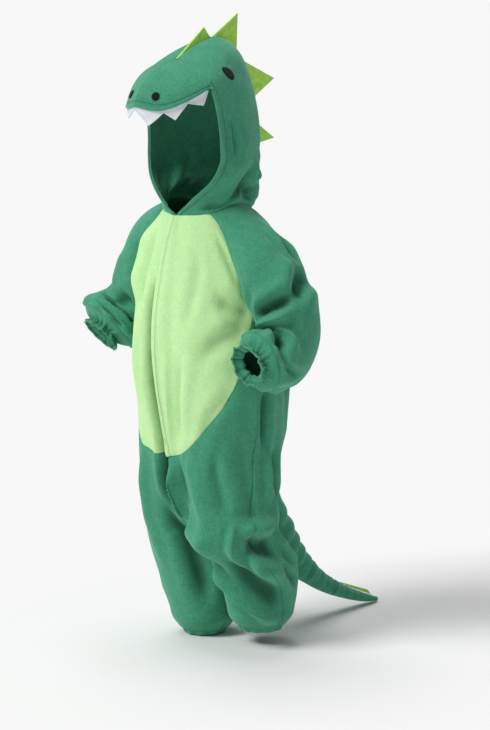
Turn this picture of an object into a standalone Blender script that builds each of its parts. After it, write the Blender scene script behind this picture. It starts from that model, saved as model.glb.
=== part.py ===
"""Dinosaur costume: a small hooded fleece jumpsuit, as its sewn cloth panels in the pose they are worn in.

Metres, +Z up. The front faces -Y and the costume's own left is +X. Heights in the tables below are above the
floor; the origin is inside the base of the neck, SHOULDER_HEIGHT above it. Every panel is a wall of
cloth through sections worked out from these tables. Neighbouring panels share the points of their seam,
and each is then drawn back from it by half a seam gap.
"""

import math

import bpy
import numpy as np

SHOULDER_HEIGHT = 0.600
FLEECE = 0.0018
FELT = 0.0016
HEM_CLOTH = 0.0014
SEAM_GAP = 0.0003
QUARTER = math.pi / 2

# Columns of panels and sleeves. The sleeve's and the hood's follow from those of the seams they share.
BELLY_COLUMNS = 7
EDGE_ROWS = 3
RAGLAN_ROWS = 8
STRIP_COLUMNS = 2
BACK_RAGLAN_COLUMNS = RAGLAN_ROWS + STRIP_COLUMNS
SHOULDER_COLUMNS = 4
BACK_NECK_COLUMNS = 3
SLEEVE_COLUMNS = 2 * BACK_RAGLAN_COLUMNS + SHOULDER_COLUMNS
HOOD_COLUMNS = BACK_NECK_COLUMNS + SHOULDER_COLUMNS + BELLY_COLUMNS
SIDE_ROWS = 20
INSEAM_ROWS = 8


def table(columns, *rows):
    """A short table as one array for each named column."""
    return dict(zip(columns, np.array(rows, float).T))


# Horizontal sections of one half of the body and its leg. Above the crotch, centre_x is less than
# half_width and the section is cut at the middle; fill evens out the cleft that this leaves.
BODY = table(
    ("z", "centre_x", "centre_y", "half_width", "front", "back", "fill", "side_seam"),
    (0.014, 0.0480, 0.041, 0.034, 0.036, 0.036, 0.00, 0.500),
    (0.026, 0.0480, 0.041, 0.0425, 0.045, 0.045, 0.00, 0.500),
    (0.045, 0.0485, 0.041, 0.046, 0.050, 0.050, 0.00, 0.495),
    (0.070, 0.0505, 0.039, 0.049, 0.055, 0.055, 0.00, 0.485),
    (0.100, 0.0535, 0.034, 0.0525, 0.060, 0.060, 0.00, 0.465),
    (0.130, 0.0560, 0.026, 0.0550, 0.064, 0.061, 0.00, 0.445),
    (0.158, 0.0562, 0.018, 0.0560, 0.067, 0.061, 0.00, 0.432),
    (0.180, 0.0530, 0.012, 0.0565, 0.070, 0.062, 0.35, 0.430),
    (0.205, 0.0480, 0.008, 0.0565, 0.074, 0.065, 0.60, 0.435),
    (0.240, 0.0420, 0.002, 0.0600, 0.078, 0.076, 0.75, 0.445),
    (0.281, 0.0380, -0.003, 0.0640, 0.080, 0.088, 0.78, 0.455),
    (0.330, 0.0280, -0.001, 0.0770, 0.088, 0.093, 0.90, 0.463),
    (0.375, 0.0180, 0.002, 0.0890, 0.096, 0.097, 1.00, 0.468),
    (0.440, 0.0080, 0.003, 0.0980, 0.099, 0.095, 1.00, 0.485),
    (0.495, 0.0030, 0.003, 0.1005, 0.093, 0.089, 1.00, 0.500),
    (0.540, 0.0000, 0.001, 0.0980, 0.083, 0.083, 1.00, 0.500),
    (0.575, 0.0000, -0.005, 0.0870, 0.070, 0.077, 1.00, 0.500),
    (0.600, 0.0000, -0.010, 0.0720, 0.0595, 0.069, 1.00, 0.500),
    (0.616, 0.0000, -0.013, 0.0630, 0.0535, 0.066, 1.00, 0.500),
    (0.640, 0.0000, -0.014, 0.0610, 0.0520, 0.066, 1.00, 0.500),
)

# The stride: how far each leg is moved back, the left one's knee forward and its hem behind, and how far
# the left leg's cloth is drawn up.
STRIDE = table(
    ("z", "left", "right", "rise"),
    (0.014, 0.006, -0.011, 0.018),
    (0.070, 0.004, -0.009, 0.012),
    (0.105, 0.000, -0.006, 0.006),
    (0.135, -0.010, -0.003, 0.003),
    (0.165, -0.012, 0.000, 0.000),
    (0.200, -0.005, 0.000, 0.000),
    (0.240, 0.000, 0.000, 0.000),
)

# Places on the body are (t, z): t runs from 0 at the middle of the front to 1 at the middle of the back.
NECK = table(("t", "z"), (0.0, 0.6095), (0.27, 0.615), (0.5, 0.626), (0.73, 0.617), (1.0, 0.618))
NECK_CORNER_T = 0.27
BACK_NECK_CORNER_T = 0.73
RAGLAN_FRONT = ((0.27, 0.615), (0.311, 0.600), (0.330, 0.562), (0.364, 0.523), (0.433, 0.478))
RAGLAN_STRIP = ((0.433, 0.478), (0.465, 0.471), (0.500, 0.470))
RAGLAN_BACK = ((0.500, 0.470), (0.570, 0.482), (0.635, 0.520), (0.680, 0.566), (0.710, 0.602), (0.73, 0.617))

# The belly's lower edge and side on the costume's left and, where the cloth is pulled down, right.
BELLY_BOTTOM = {
    1: ((0.0, 0.281), (0.080, 0.284), (0.163, 0.299), (0.249, 0.331), (0.3045, 0.354), (0.352, 0.383)),
    -1: ((0.0, 0.281), (0.080, 0.2815), (0.160, 0.284), (0.225, 0.2905), (0.262, 0.306), (0.285, 0.330)),
}
BELLY_EDGE = {
    1: ((0.352, 0.383), (0.395, 0.430), (0.433, 0.478)),
    -1: ((0.285, 0.330), (0.327, 0.390), (0.375, 0.440), (0.433, 0.478)),
}
INSEAM_Z = (0.014, 0.019, 0.028, 0.042, 0.060, 0.082, 0.106, 0.132, 0.158)
BACK_NECK_Z = 0.618
BELLY_BOTTOM_Z = 0.281

# Large folds of the body, each a trough or ridge along a line between two places. A minus t is the
# costume's right. Lengths are in metres, and depth is inward where it is negative.
BODY_FOLDS = table(
    ("t1", "z1", "t2", "z2", "width", "depth"),
    (0.06, 0.500, 0.04, 0.300, 0.020, -0.0030),
    (-0.10, 0.520, -0.07, 0.330, 0.022, 0.0030),
    (0.16, 0.460, 0.12, 0.340, 0.022, 0.0025),
    (-0.20, 0.430, -0.17, 0.260, 0.020, -0.0030),
    (0.20, 0.290, 0.24, 0.140, 0.024, 0.0050),
    (0.40, 0.300, 0.44, 0.190, 0.015, -0.0060),
    (0.52, 0.170, 0.60, 0.125, 0.016, -0.0080),
    (0.07, 0.172, 0.27, 0.156, 0.017, 0.0120),
    (0.62, 0.172, 0.84, 0.160, 0.020, -0.0080),
    (0.42, 0.135, 0.52, 0.090, 0.020, 0.0040),
    (0.12, 0.128, 0.30, 0.118, 0.014, -0.0050),
    (-0.22, 0.250, -0.26, 0.120, 0.022, 0.0040),
    (-0.38, 0.280, -0.42, 0.150, 0.016, -0.0045),
    (-0.56, 0.160, -0.64, 0.110, 0.016, -0.0060),
    (0.62, 0.420, 0.70, 0.280, 0.022, -0.0040),
    (-0.64, 0.440, -0.72, 0.300, 0.022, -0.0040),
    (-0.27, 0.590, -0.255, 0.500, 0.050, 0.0150),
    (-0.255, 0.520, -0.25, 0.370, 0.055, 0.0075),
    (-0.31, 0.260, -0.36, 0.040, 0.050, 0.0055),
    (0.70, 0.285, 0.70, 0.185, 0.045, -0.0120),
    (-0.70, 0.285, -0.70, 0.185, 0.045, -0.0100),
    (0.82, 0.520, 0.84, 0.360, 0.024, 0.0030),
    (-0.84, 0.500, -0.82, 0.360, 0.024, 0.0030),
)
HALF_GIRTH = 0.33

# Rings of a left sleeve after its raglan seam. out_tilt is how far the outward half-width points up, and
# front_turn how far the front half-width has turned from forward to upward, in degrees.
RING_COLUMNS = ("x", "y", "z", "out", "out_tilt", "front", "front_turn")
LEFT_SLEEVE = table(
    RING_COLUMNS,
    (0.1115, -0.001, 0.5320, 0.0580, 86.5, 0.048, 0),
    (0.1265, 0.000, 0.5140, 0.0481, 69, 0.046, 0),
    (0.1386, 0.004, 0.4936, 0.0445, 52, 0.047, 0),
    (0.1460, 0.005, 0.4734, 0.0417, 37, 0.046, 4),
    (0.1492, 0.004, 0.4520, 0.0390, 23, 0.046, 18),
    (0.1508, -0.006, 0.4372, 0.0380, 10, 0.046, 38),
    (0.1522, -0.024, 0.4280, 0.0390, 5, 0.046, 58),
    (0.1510, -0.043, 0.4260, 0.0410, 0, 0.046, 70),
    (0.1530, -0.058, 0.4260, 0.0390, 0, 0.043, 76),
    (0.1550, -0.067, 0.4260, 0.0290, 0, 0.031, 76),
    (0.1560, -0.072, 0.4260, 0.0200, 0, 0.020, 76),
    (0.1565, -0.078, 0.4255, 0.0250, 0, 0.026, 76),
    (0.1570, -0.084, 0.4245, 0.0285, 0, 0.0295, 76),
)
RIGHT_SLEEVE = table(
    RING_COLUMNS,
    (0.1135, 0.000, 0.5375, 0.0640, 84, 0.051, 0),
    (0.1291, 0.001, 0.5170, 0.0524, 67, 0.0505, 0),
    (0.1399, 0.0015, 0.4973, 0.0469, 54, 0.0463, 0),
    (0.1465, 0.000, 0.4800, 0.0430, 42, 0.044, 3),
    (0.1520, -0.006, 0.4650, 0.0425, 34, 0.045, 12),
    (0.1585, -0.016, 0.4540, 0.0450, 28, 0.048, 24),
    (0.1645, -0.027, 0.4460, 0.0475, 22, 0.050, 36),
    (0.1690, -0.036, 0.4400, 0.0460, 18, 0.048, 42),
    (0.1720, -0.041, 0.4360, 0.0395, 16, 0.041, 46),
    (0.1740, -0.044, 0.4325, 0.0290, 15, 0.029, 48),
    (0.1750, -0.046, 0.4300, 0.0195, 15, 0.0195, 48),
    (0.1755, -0.048, 0.4265, 0.0245, 15, 0.0245, 48),
    (0.1760, -0.051, 0.4230, 0.0275, 15, 0.0275, 48),
)
SLEEVE_START_ANGLE = math.radians(30)
CUFF_START = 9.0
SLEEVE_END = 13.0
CUFF_WAVES = 10
CUFF_COLUMNS = 40
CUFF_ROWS = 5
SLEEVE_ROWS = 13

# Stations of the hood's side panel from the brow over the crown to the neck: a point of the centre seam,
# the matching point of the face edge, and how far round the cross-section turns between them.
HOOD = table(
    ("m", "seam_y", "seam_z", "edge_x", "edge_y", "edge_z", "turn"),
    (0.00, -0.0670, 0.8205, 0.0705, -0.0670, 0.7852, 88),
    (0.10, -0.0350, 0.8375, 0.0715, -0.0640, 0.7750, 95),
    (0.22, 0.006, 0.8475, 0.0720, -0.0590, 0.7590, 101),
    (0.34, 0.036, 0.833, 0.0720, -0.0550, 0.742, 104),
    (0.46, 0.054, 0.802, 0.0725, -0.0530, 0.726, 108),
    (0.58, 0.064, 0.760, 0.0728, -0.0520, 0.706, 112),
    (0.70, 0.070, 0.713, 0.0720, -0.0530, 0.682, 116),
    (0.80, 0.071, 0.672, 0.0610, -0.0600, 0.656, 127),
    (0.88, 0.0655, 0.644, 0.0420, -0.0670, 0.637, 142),
    (0.94, 0.059, 0.628, 0.0240, -0.0690, 0.623, 158),
    (1.00, 0.053, 0.618, 0.0080, -0.0665, 0.612, 172),
)
HOOD_ROWS = 17
HOOD_RIDGE = 0.80
NECK_BLEND_FROM = 0.72
HOOD_HEM_COLUMNS = 2

# The snout's brim edge from its tip to the joint with the hood, and how full its top is.
BRIM = table(
    ("q", "x", "y", "z"),
    (0.00, 0.000, -0.143, 0.7610),
    (0.34, 0.034, -0.126, 0.7560),
    (0.66, 0.056, -0.100, 0.7668),
    (1.00, 0.0705, -0.0675, 0.7850),
)
SNOUT_FULLNESS = 0.60
SNOUT_ROWS = 7
SNOUT_INSIDE = (0.0, -0.070, 0.740)

# The zigzag along each half of the brim: where a tooth starts, points and ends, and how far it hangs. The
# tooth beside the middle is shorter on the costume's right.
TEETH = table(
    ("start", "point", "end", "drop"),
    (0.00, 0.21, 0.385, 0.0205),
    (0.385, 0.555, 0.69, 0.0185),
    (0.69, 0.935, 0.965, 0.0200),
)
RIGHT_FIRST_DROP = 0.013
TOOTH_ROOT = 0.005
TOOTH_VALLEY = 0.001

# Felt triangles of the back: where they stand on the hood's centre seam, and the tip.
SPIKES = table(
    ("m1", "m2", "tip_y", "tip_z"),
    (0.004, 0.190, -0.0148, 0.8605),
    (0.200, 0.398, 0.0478, 0.8773),
    (0.406, 0.600, 0.1173, 0.7850),
    (0.640, 0.745, 0.1175, 0.7026),
)
SPIKE_ROOT = 0.0021
SPIKE_TIP = 0.0008

EYE = {"at": (0.208, 0.612), "half_long": 0.0112, "half_short": 0.0072, "slant": 40}
NOSTRIL = {"at": (0.775, 0.230), "half_long": 0.0060, "half_short": 0.0055, "slant": 0}

# Rings of the tail in the plane x = 0, from the seat to its tip on the floor.
TAIL = table(
    ("y", "z", "deep", "wide"),
    (0.080, 0.206, 0.0290, 0.034),
    (0.1040, 0.1760, 0.0250, 0.029),
    (0.1245, 0.1435, 0.0245, 0.026),
    (0.1465, 0.1110, 0.0220, 0.0235),
    (0.1685, 0.0870, 0.0190, 0.0205),
    (0.1920, 0.0685, 0.0155, 0.0175),
    (0.215, 0.0530, 0.0133, 0.0150),
    (0.238, 0.0405, 0.0115, 0.0130),
    (0.264, 0.0290, 0.0098, 0.0112),
    (0.291, 0.0190, 0.0080, 0.0092),
    (0.312, 0.0125, 0.0062, 0.0070),
    (0.329, 0.0080, 0.0035, 0.0035),
)
TAIL_BASE = {"z": 0.240, "tall": 0.033, "wide": 0.033}
TAIL_COLUMNS = 8
TAIL_ROWS = 13
TAIL_SPIKE = {"from": 7.2, "to": 10.2, "tip": (0.310, 0.0255)}

LEG_HEM = {"columns": 36, "rows": 2, "waves": 9, "top": 0.0135, "bottom": 0.006}

COLOURS = {
    "fleece": (0.075, 0.285, 0.165),
    "belly": (0.50, 0.80, 0.26),
    "felt_lime": (0.30, 0.63, 0.10),
    "felt_white": (0.84, 0.86, 0.92),
    "felt_black": (0.010, 0.010, 0.012),
}


# Curves and surfaces


def spline(keys, values, at):
    """Smooth curve through values at keys, read at each number in at."""
    keys = np.asarray(keys, float)
    values = np.asarray(values, float)
    at = np.clip(np.asarray(at, float), keys[0], keys[-1])
    slopes = np.gradient(values, keys, axis=0)
    i = np.clip(np.searchsorted(keys, at, side="right") - 1, 0, len(keys) - 2)
    span = keys[i + 1] - keys[i]
    f = (at - keys[i]) / span
    more = (1,) * (values.ndim - 1)
    f = f.reshape(f.shape + more)
    span = span.reshape(span.shape + more)
    start = values[i] * (1 + 2 * f) * (1 - f) ** 2 + slopes[i] * span * f * (1 - f) ** 2
    end = values[i + 1] * f**2 * (3 - 2 * f) + slopes[i + 1] * span * f**2 * (f - 1)
    return start + end


def smooth(low, high, value):
    """0 below low, 1 above high, and an eased step between them."""
    f = np.clip((value - low) / (high - low), 0.0, 1.0)
    return f * f * (3 - 2 * f)


def along(points, fractions):
    """Points at fractions of the length of a smooth (t, z) line, t measured in metres of girth."""
    points = np.array(points, float)
    steps = np.diff(points, axis=0) * (HALF_GIRTH * 2, 1)
    lengths = np.concatenate([[0], np.cumsum(np.hypot(*steps.T))])
    return spline(lengths / lengths[-1], points, fractions)


def fold_height(t, z):
    """How far the large folds push the cloth out at each place of the body."""
    height = np.zeros(np.broadcast(t, z).shape)
    girth = 2 * HALF_GIRTH
    for t1, z1, t2, z2, width, depth in zip(*BODY_FOLDS.values()):
        run = np.array(((t2 - t1) * girth, z2 - z1))
        length = np.hypot(*run)
        ds = (t - t1) * girth
        dz = z - z1
        f = (ds * run[0] + dz * run[1]) / length**2
        across = (ds * run[1] - dz * run[0]) / length
        ends = smooth(-0.25, 0.25, f) * smooth(-0.25, 0.25, 1 - f)
        height += depth * ends * np.exp(-((across / width) ** 2))
    return height


def stride(side, z):
    """How far the stride moves a side's cloth back, and up, at height z."""
    back = np.where(side > 0, spline(STRIDE["z"], STRIDE["left"], z), spline(STRIDE["z"], STRIDE["right"], z))
    return back, np.where(side > 0, spline(STRIDE["z"], STRIDE["rise"], z), 0.0)


def body_point(t, z):
    """The body's outer surface at signed t and height z."""
    t, z = np.broadcast_arrays(np.asarray(t, float), np.asarray(z, float))
    row = {name: spline(BODY["z"], BODY[name], z) for name in BODY if name != "z"}
    side = np.where(np.signbit(t), -1.0, 1.0)
    part = np.abs(t)
    lean = np.clip(row["centre_x"] / row["half_width"], 0, 1)
    start = -np.arcsin(lean)
    reach = QUARTER - start
    angle = np.where(part < 0.5, start + reach * part / 0.5, QUARTER + reach * (part - 0.5) / 0.5)
    cosine = np.cos(angle)
    filled = np.sign(cosine) * (np.abs(cosine) + row["fill"] * (1 - np.abs(cosine)))
    cosine = np.where(np.sin(angle) < 0, filled, cosine)
    depth = np.where(cosine > 0, row["front"], row["back"])
    x = row["centre_x"] + row["half_width"] * np.sin(angle)
    y = row["centre_y"] - depth * cosine
    normal = np.stack([np.sin(angle) / row["half_width"], -cosine / depth])
    normal /= np.linalg.norm(normal, axis=0)
    height = fold_height(t, z)
    x = np.maximum(x + height * normal[0], 0.0)
    back, rise = stride(side, z)
    return np.stack([side * x, y + height * normal[1] + back, z + rise], axis=-1)


def body_normal(t, z):
    """Unit outward normals of the body's surface, taken within its own half."""
    t, z = np.broadcast_arrays(np.asarray(t, float), np.asarray(z, float))
    side = np.where(np.signbit(t), -1.0, 1.0)
    part = np.abs(t)
    step = 0.004
    before = side * np.clip(part - step, 0.002, 0.998 - step)
    after = side * np.clip(part + step, 0.002 + step, 0.998)
    across = (body_point(after, z) - body_point(before, z)) * side[..., None]
    upward = body_point(t, z + step) - body_point(t, np.maximum(z - step, BODY["z"][0]))
    normal = np.cross(across, upward)
    return normal / np.linalg.norm(normal, axis=-1, keepdims=True)


def neck_z(t):
    return spline(NECK["t"], NECK["z"], np.abs(t))


def raglan_loop(side):
    """(t, z) of a sleeve's first ring at each sleeve column, from the front neck corner down the front."""
    front = along(RAGLAN_FRONT, np.linspace(0, 1, RAGLAN_ROWS + 1))
    strip = along(RAGLAN_STRIP, np.linspace(0, 1, STRIP_COLUMNS + 1))
    back = along(RAGLAN_BACK, np.linspace(0, 1, BACK_RAGLAN_COLUMNS + 1))
    neck_t = np.linspace(BACK_NECK_CORNER_T, NECK_CORNER_T, SHOULDER_COLUMNS + 1)
    neck = np.stack([neck_t, neck_z(neck_t)], axis=-1)
    loop = np.concatenate([front[:-1], strip[:-1], back[:-1], neck[:-1]])
    return loop * (side, 1)


def sleeve_rings(side, turns):
    """The ring points of a sleeve at each turn, a share of the way round it."""
    rings = LEFT_SLEEVE if side > 0 else RIGHT_SLEEVE
    loop = raglan_loop(side)
    loop = np.concatenate([loop, loop[:1]])
    first = body_point(*spline(np.linspace(0, 1, SLEEVE_COLUMNS + 1), loop, turns).T)
    angle = SLEEVE_START_ANGLE + 2 * math.pi * turns
    points = [first]
    for x, y, z, out, tilt, front, turn in zip(*rings.values()):
        tilt = math.radians(tilt)
        turn = math.radians(turn)
        centre = np.array((side * x, y, z))
        outward = out * np.array((side * math.cos(tilt), 0, math.sin(tilt)))
        forward = front * np.array((0, -math.cos(turn), math.sin(turn)))
        points.append(centre + np.outer(np.cos(angle), outward) + np.outer(np.sin(angle), forward))
    return np.array(points)


def sleeve_grid(side, rows, turns, waves=0):
    """Sleeve points at each row, a ring number that may lie between rings, and each turn."""
    rings = sleeve_rings(side, turns)
    numbers = np.arange(len(rings))
    grid = spline(numbers, rings, rows)
    if waves:
        centre = grid.mean(axis=1, keepdims=True)
        outward = grid - centre
        radius = np.linalg.norm(outward, axis=2, keepdims=True)
        ease = smooth(CUFF_START, CUFF_START + 1.4, rows)[:, None, None]
        wave = np.cos(2 * math.pi * waves * turns + 1.3 * np.sin(2 * math.pi * turns))[None, :, None]
        grid = grid + outward / radius * (0.0011 + 0.02 * radius) * wave * ease
    return grid


def sleeve_normals(side, rows, turns, waves=0):
    """Unit outward normals at the points of sleeve_grid, the body's along the raglan seam."""
    step = 0.02
    last = sleeve_grid(side, np.minimum(rows + step, SLEEVE_END), turns, waves)
    along_arm = last - sleeve_grid(side, np.maximum(rows - step, 0), turns, waves)
    around = sleeve_grid(side, rows, (turns + 0.002) % 1, waves)
    around = around - sleeve_grid(side, rows, (turns - 0.002) % 1, waves)
    normal = np.cross(around, along_arm) * side
    normal /= np.linalg.norm(normal, axis=-1, keepdims=True)
    grid = sleeve_grid(side, rows, turns, waves)
    away = np.sign(np.sum(normal * (grid - grid.mean(axis=1, keepdims=True))))
    return normal * away


def neck_share(c):
    """The body's t under each share c of the hood's neck seam, from the middle of the back."""
    ends = np.cumsum([0, BACK_NECK_COLUMNS, SHOULDER_COLUMNS, BELLY_COLUMNS]) / HOOD_COLUMNS
    return np.interp(c, ends, (1.0, BACK_NECK_CORNER_T, NECK_CORNER_T, 0.0))


def hood_form(m, c):
    """The left half of the hood before its lower edge is fitted to the neck."""
    row = {name: spline(HOOD["m"], HOOD[name], m) for name in HOOD if name != "m"}
    turn = np.radians(row["turn"])
    angle = c * turn
    share = ((1 - np.cos(angle)) / (1 - np.cos(turn))) ** HOOD_RIDGE
    x = row["edge_x"] * np.sin(angle) / np.sin(turn)
    y = row["seam_y"] + (row["edge_y"] - row["seam_y"]) * share
    z = row["seam_z"] + (row["edge_z"] - row["seam_z"]) * share
    return np.stack([x, y, z], axis=-1)


def hood_point(side, m, c):
    """The hood's outer surface at station m and share c of the way from the centre seam to the face."""
    m, c = np.broadcast_arrays(np.asarray(m, float), np.asarray(c, float))
    point = hood_form(m, c)
    t = neck_share(c)
    neck = body_point(t, neck_z(t))
    fit = smooth(NECK_BLEND_FROM, 1.0, m)[..., None]
    return (point + (neck - hood_form(np.ones_like(m), c)) * fit) * (side, 1, 1)


def hood_normals(side, m, c):
    """Unit outward normals of the hood, the neck's along its lower seam."""
    m, c = np.broadcast_arrays(np.asarray(m, float), np.asarray(c, float))
    step = 0.01
    along_m = hood_point(side, np.minimum(m + step, 1), c) - hood_point(side, np.maximum(m - step, 0), c)
    along_c = hood_point(side, m, np.minimum(c + step, 1)) - hood_point(side, m, np.maximum(c - step, 0))
    normal = np.cross(along_c, along_m) * side
    normal /= np.linalg.norm(normal, axis=-1, keepdims=True)
    t = neck_share(c)
    neck = body_normal(side * t, neck_z(t))
    fit = smooth(0.9, 1.0, m)[..., None]
    normal = normal * (1 - fit) + neck * fit
    return normal / np.linalg.norm(normal, axis=-1, keepdims=True)


def snout_point(side, p, q):
    """The snout's outer surface, p from the joint with the hood to the brim and q from the middle out."""
    p, q = np.broadcast_arrays(np.asarray(p, float), np.asarray(q, float))
    joint = hood_form(np.zeros_like(q), q)
    brim = np.stack([spline(BRIM["q"], BRIM[name], q) for name in "xyz"], axis=-1)
    out = np.sin(QUARTER * p)
    down = 1 - np.cos(QUARTER * p)
    out = (SNOUT_FULLNESS * out + (1 - SNOUT_FULLNESS) * p)[..., None]
    down = (SNOUT_FULLNESS * down + (1 - SNOUT_FULLNESS) * p)[..., None]
    run = brim - joint
    point = joint + run * np.concatenate([out, out, down], axis=-1)
    return point * (side, 1, 1)


def tail_point(s, turn):
    """The tail's outer surface at ring number s; turn runs from its top round its left."""
    s, turn = np.broadcast_arrays(np.asarray(s, float), np.asarray(turn, float))
    numbers = np.arange(len(TAIL["y"]))
    line = np.stack([TAIL["y"], TAIL["z"]], axis=-1)
    centre = spline(numbers, line, s)
    slope = spline(numbers, line, s + 0.05) - spline(numbers, line, s - 0.05)
    slope /= np.linalg.norm(slope, axis=-1, keepdims=True)
    deep = spline(numbers, TAIL["deep"], s)
    wide = spline(numbers, TAIL["wide"], s)
    angle = 2 * math.pi * turn
    up = deep * np.cos(angle)
    x = wide * np.sin(angle)
    y = centre[..., 0] - up * slope[..., 1]
    z = centre[..., 1] + up * slope[..., 0]
    return np.stack([x, y, z], axis=-1)


def seat_y(side, x, z):
    """How far back the body's outer surface is at x and height z, found along its section."""
    t = side * np.linspace(0.52, 0.999, 120)
    section = body_point(t[None, :], np.ravel(z)[:, None])
    found = [np.interp(at, side * s[::-1, 0], s[::-1, 1]) for at, s in zip(np.ravel(x), section)]
    return np.array(found).reshape(np.shape(z))


# Solids


def patch(bottom, top, left, right):
    """A grid of (t, z) places filling the space between four lines of places."""
    b = np.linspace(0, 1, len(left))[:, None, None]
    a = np.linspace(0, 1, len(bottom))[None, :, None]
    across = (1 - a) * left[:, None] + a * right[:, None]
    upward = (1 - b) * bottom[None, :] + b * top[None, :]
    low = (1 - a) * bottom[0] + a * bottom[-1]
    high = (1 - a) * top[0] + a * top[-1]
    return across + upward - ((1 - b) * low + b * high)


def drawn_back(grid, sides, gap=SEAM_GAP):
    """The grid with the named edges moved in by half a seam gap. Sides are of bottom, top, left, right."""
    grid = grid.copy()
    edges = {"bottom": ((0,), (1,)), "top": ((-1,), (-2,))}
    edges["left"] = ((slice(None), 0), (slice(None), 1))
    edges["right"] = ((slice(None), -1), (slice(None), -2))
    for name in sides:
        edge, inner = edges[name]
        step = grid[inner] - grid[edge]
        grid[edge] += step / np.linalg.norm(step, axis=-1, keepdims=True) * gap / 2
    return grid


def grid_normals(grid, closed=False):
    """Unit normals of a grid of points. A closed grid wraps round along its columns."""
    if closed:
        across = np.roll(grid, -1, axis=1) - np.roll(grid, 1, axis=1)
    else:
        across = np.gradient(grid, axis=1, edge_order=min(2, grid.shape[1] - 1))
    normal = np.cross(across, np.gradient(grid, axis=0, edge_order=min(2, len(grid) - 1)))
    return normal / np.linalg.norm(normal, axis=-1, keepdims=True)


def outward_normals(grid, inside, closed=False):
    """The grid's unit normals, turned away from the place inside."""
    normals = grid_normals(grid, closed)
    return normals * np.sign(np.sum(normals * (grid - inside)))


def wall_faces(rows, columns, closed):
    """Faces of a wall whose outer points come first and then its inner points, row by row."""
    count = rows * columns
    around = columns if closed else columns - 1
    faces = []
    for i in range(rows - 1):
        for j in range(around):
            k = (j + 1) % columns
            a, b = i * columns + j, i * columns + k
            c, d = (i + 1) * columns + k, (i + 1) * columns + j
            for half in ((a, b, c), (a, c, d)):
                faces.append(half)
                faces.append(tuple(count + corner for corner in reversed(half)))
    for i, down in ((0, True), (rows - 1, False)):
        for j in range(around):
            a = i * columns + j
            b = i * columns + (j + 1) % columns
            faces.append((b, a, count + a, count + b) if down else (a, b, count + b, count + a))
    if not closed:
        for j, left in ((0, True), (columns - 1, False)):
            for i in range(rows - 1):
                a = i * columns + j
                b = (i + 1) * columns + j
                faces.append((a, b, count + b, count + a) if left else (b, a, count + a, count + b))
    return faces


def signed_volume(points, faces):
    """Six times the volume inside the faces, positive where they face out."""
    total = 0.0
    for face in faces:
        for i in range(1, len(face) - 1):
            total += np.dot(points[face[0]], np.cross(points[face[i]], points[face[i + 1]]))
    return total


def add_solid(name, points, faces, colour):
    """One named object in the frame of the origin, with its faces turned out and its own material."""
    points = np.asarray(points, float) - (0, 0, SHOULDER_HEIGHT)
    if signed_volume(points, faces) < 0:
        faces = [tuple(reversed(face)) for face in faces]
    mesh = bpy.data.meshes.new(name)
    mesh.from_pydata(points.tolist(), [], faces)
    mesh.update()
    made = bpy.data.objects.new(name, mesh)
    bpy.context.scene.collection.objects.link(made)
    material = bpy.data.materials.new(name)
    material.use_nodes = True
    shader = material.node_tree.nodes["Principled BSDF"]
    shader.inputs["Base Color"].default_value = (*COLOURS[colour], 1)
    shader.inputs["Roughness"].default_value = 0.95
    shader.inputs["Metallic"].default_value = 0.0
    mesh.materials.append(material)
    return made


def add_wall(name, outer, inner, colour, closed=False):
    rows, columns = outer.shape[:2]
    points = np.concatenate([outer.reshape(-1, 3), inner.reshape(-1, 3)])
    return add_solid(name, points, wall_faces(rows, columns, closed), colour)


# Panels


def belly_places(side):
    """Places of the belly panel's grid: rows up from its curved lower edge, columns out from the middle."""
    across = np.linspace(0, 1, BELLY_COLUMNS + 1)
    bottom = along(BELLY_BOTTOM[side], across)
    top_t = NECK_CORNER_T * across
    top = np.stack([top_t, neck_z(top_t)], axis=-1)
    edge = along(BELLY_EDGE[side], np.linspace(0, 1, EDGE_ROWS + 1))
    raglan = along(RAGLAN_FRONT, np.linspace(1, 0, RAGLAN_ROWS + 1))
    right = np.concatenate([edge, raglan[1:]])
    left_z = np.linspace(bottom[0, 1], top[0, 1], len(right))
    left = np.stack([np.zeros_like(left_z), left_z], axis=-1)
    return patch(bottom, top, left, right)


def side_places():
    """Places down the side seam, from the leg hem up to the underarm."""
    z = along(((0.0, INSEAM_Z[0]), (0.0, RAGLAN_STRIP[-1][1])), np.linspace(0, 1, SIDE_ROWS + 1))[:, 1]
    z = INSEAM_Z[0] + (z - INSEAM_Z[0]) ** 1.25 * (z[-1] - INSEAM_Z[0]) ** -0.25
    t = spline(BODY["z"], BODY["side_seam"], z)
    t = t + (0.5 - t[-1]) * np.linspace(0, 1, len(t)) ** 6
    return np.stack([t, z], axis=-1)


def middle_places(t, top):
    """Places up the inner leg and on along the middle seam to the height top."""
    z = np.concatenate([INSEAM_Z, np.linspace(INSEAM_Z[-1], top, SIDE_ROWS - INSEAM_ROWS + 1)[1:]])
    return np.stack([np.full_like(z, t), z], axis=-1)


def front_leg_places(side):
    """Places of the green front: the leg, and the strip beside the belly up to the underarm."""
    bottom_of_belly = along(BELLY_BOTTOM[side], np.linspace(0, 1, BELLY_COLUMNS + 1))
    edge = along(BELLY_EDGE[side], np.linspace(0, 1, EDGE_ROWS + 1))
    strip = along(RAGLAN_STRIP, np.linspace(0, 1, STRIP_COLUMNS + 1))
    top = np.concatenate([bottom_of_belly, edge[1:], strip[1:]])
    right = side_places()
    left = middle_places(0.0, BELLY_BOTTOM_Z)
    share = np.linspace(0, 1, len(top))
    bottom = np.stack([share * right[0, 0], np.full_like(share, INSEAM_Z[0])], axis=-1)
    return patch(bottom, top, left, right)


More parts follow.
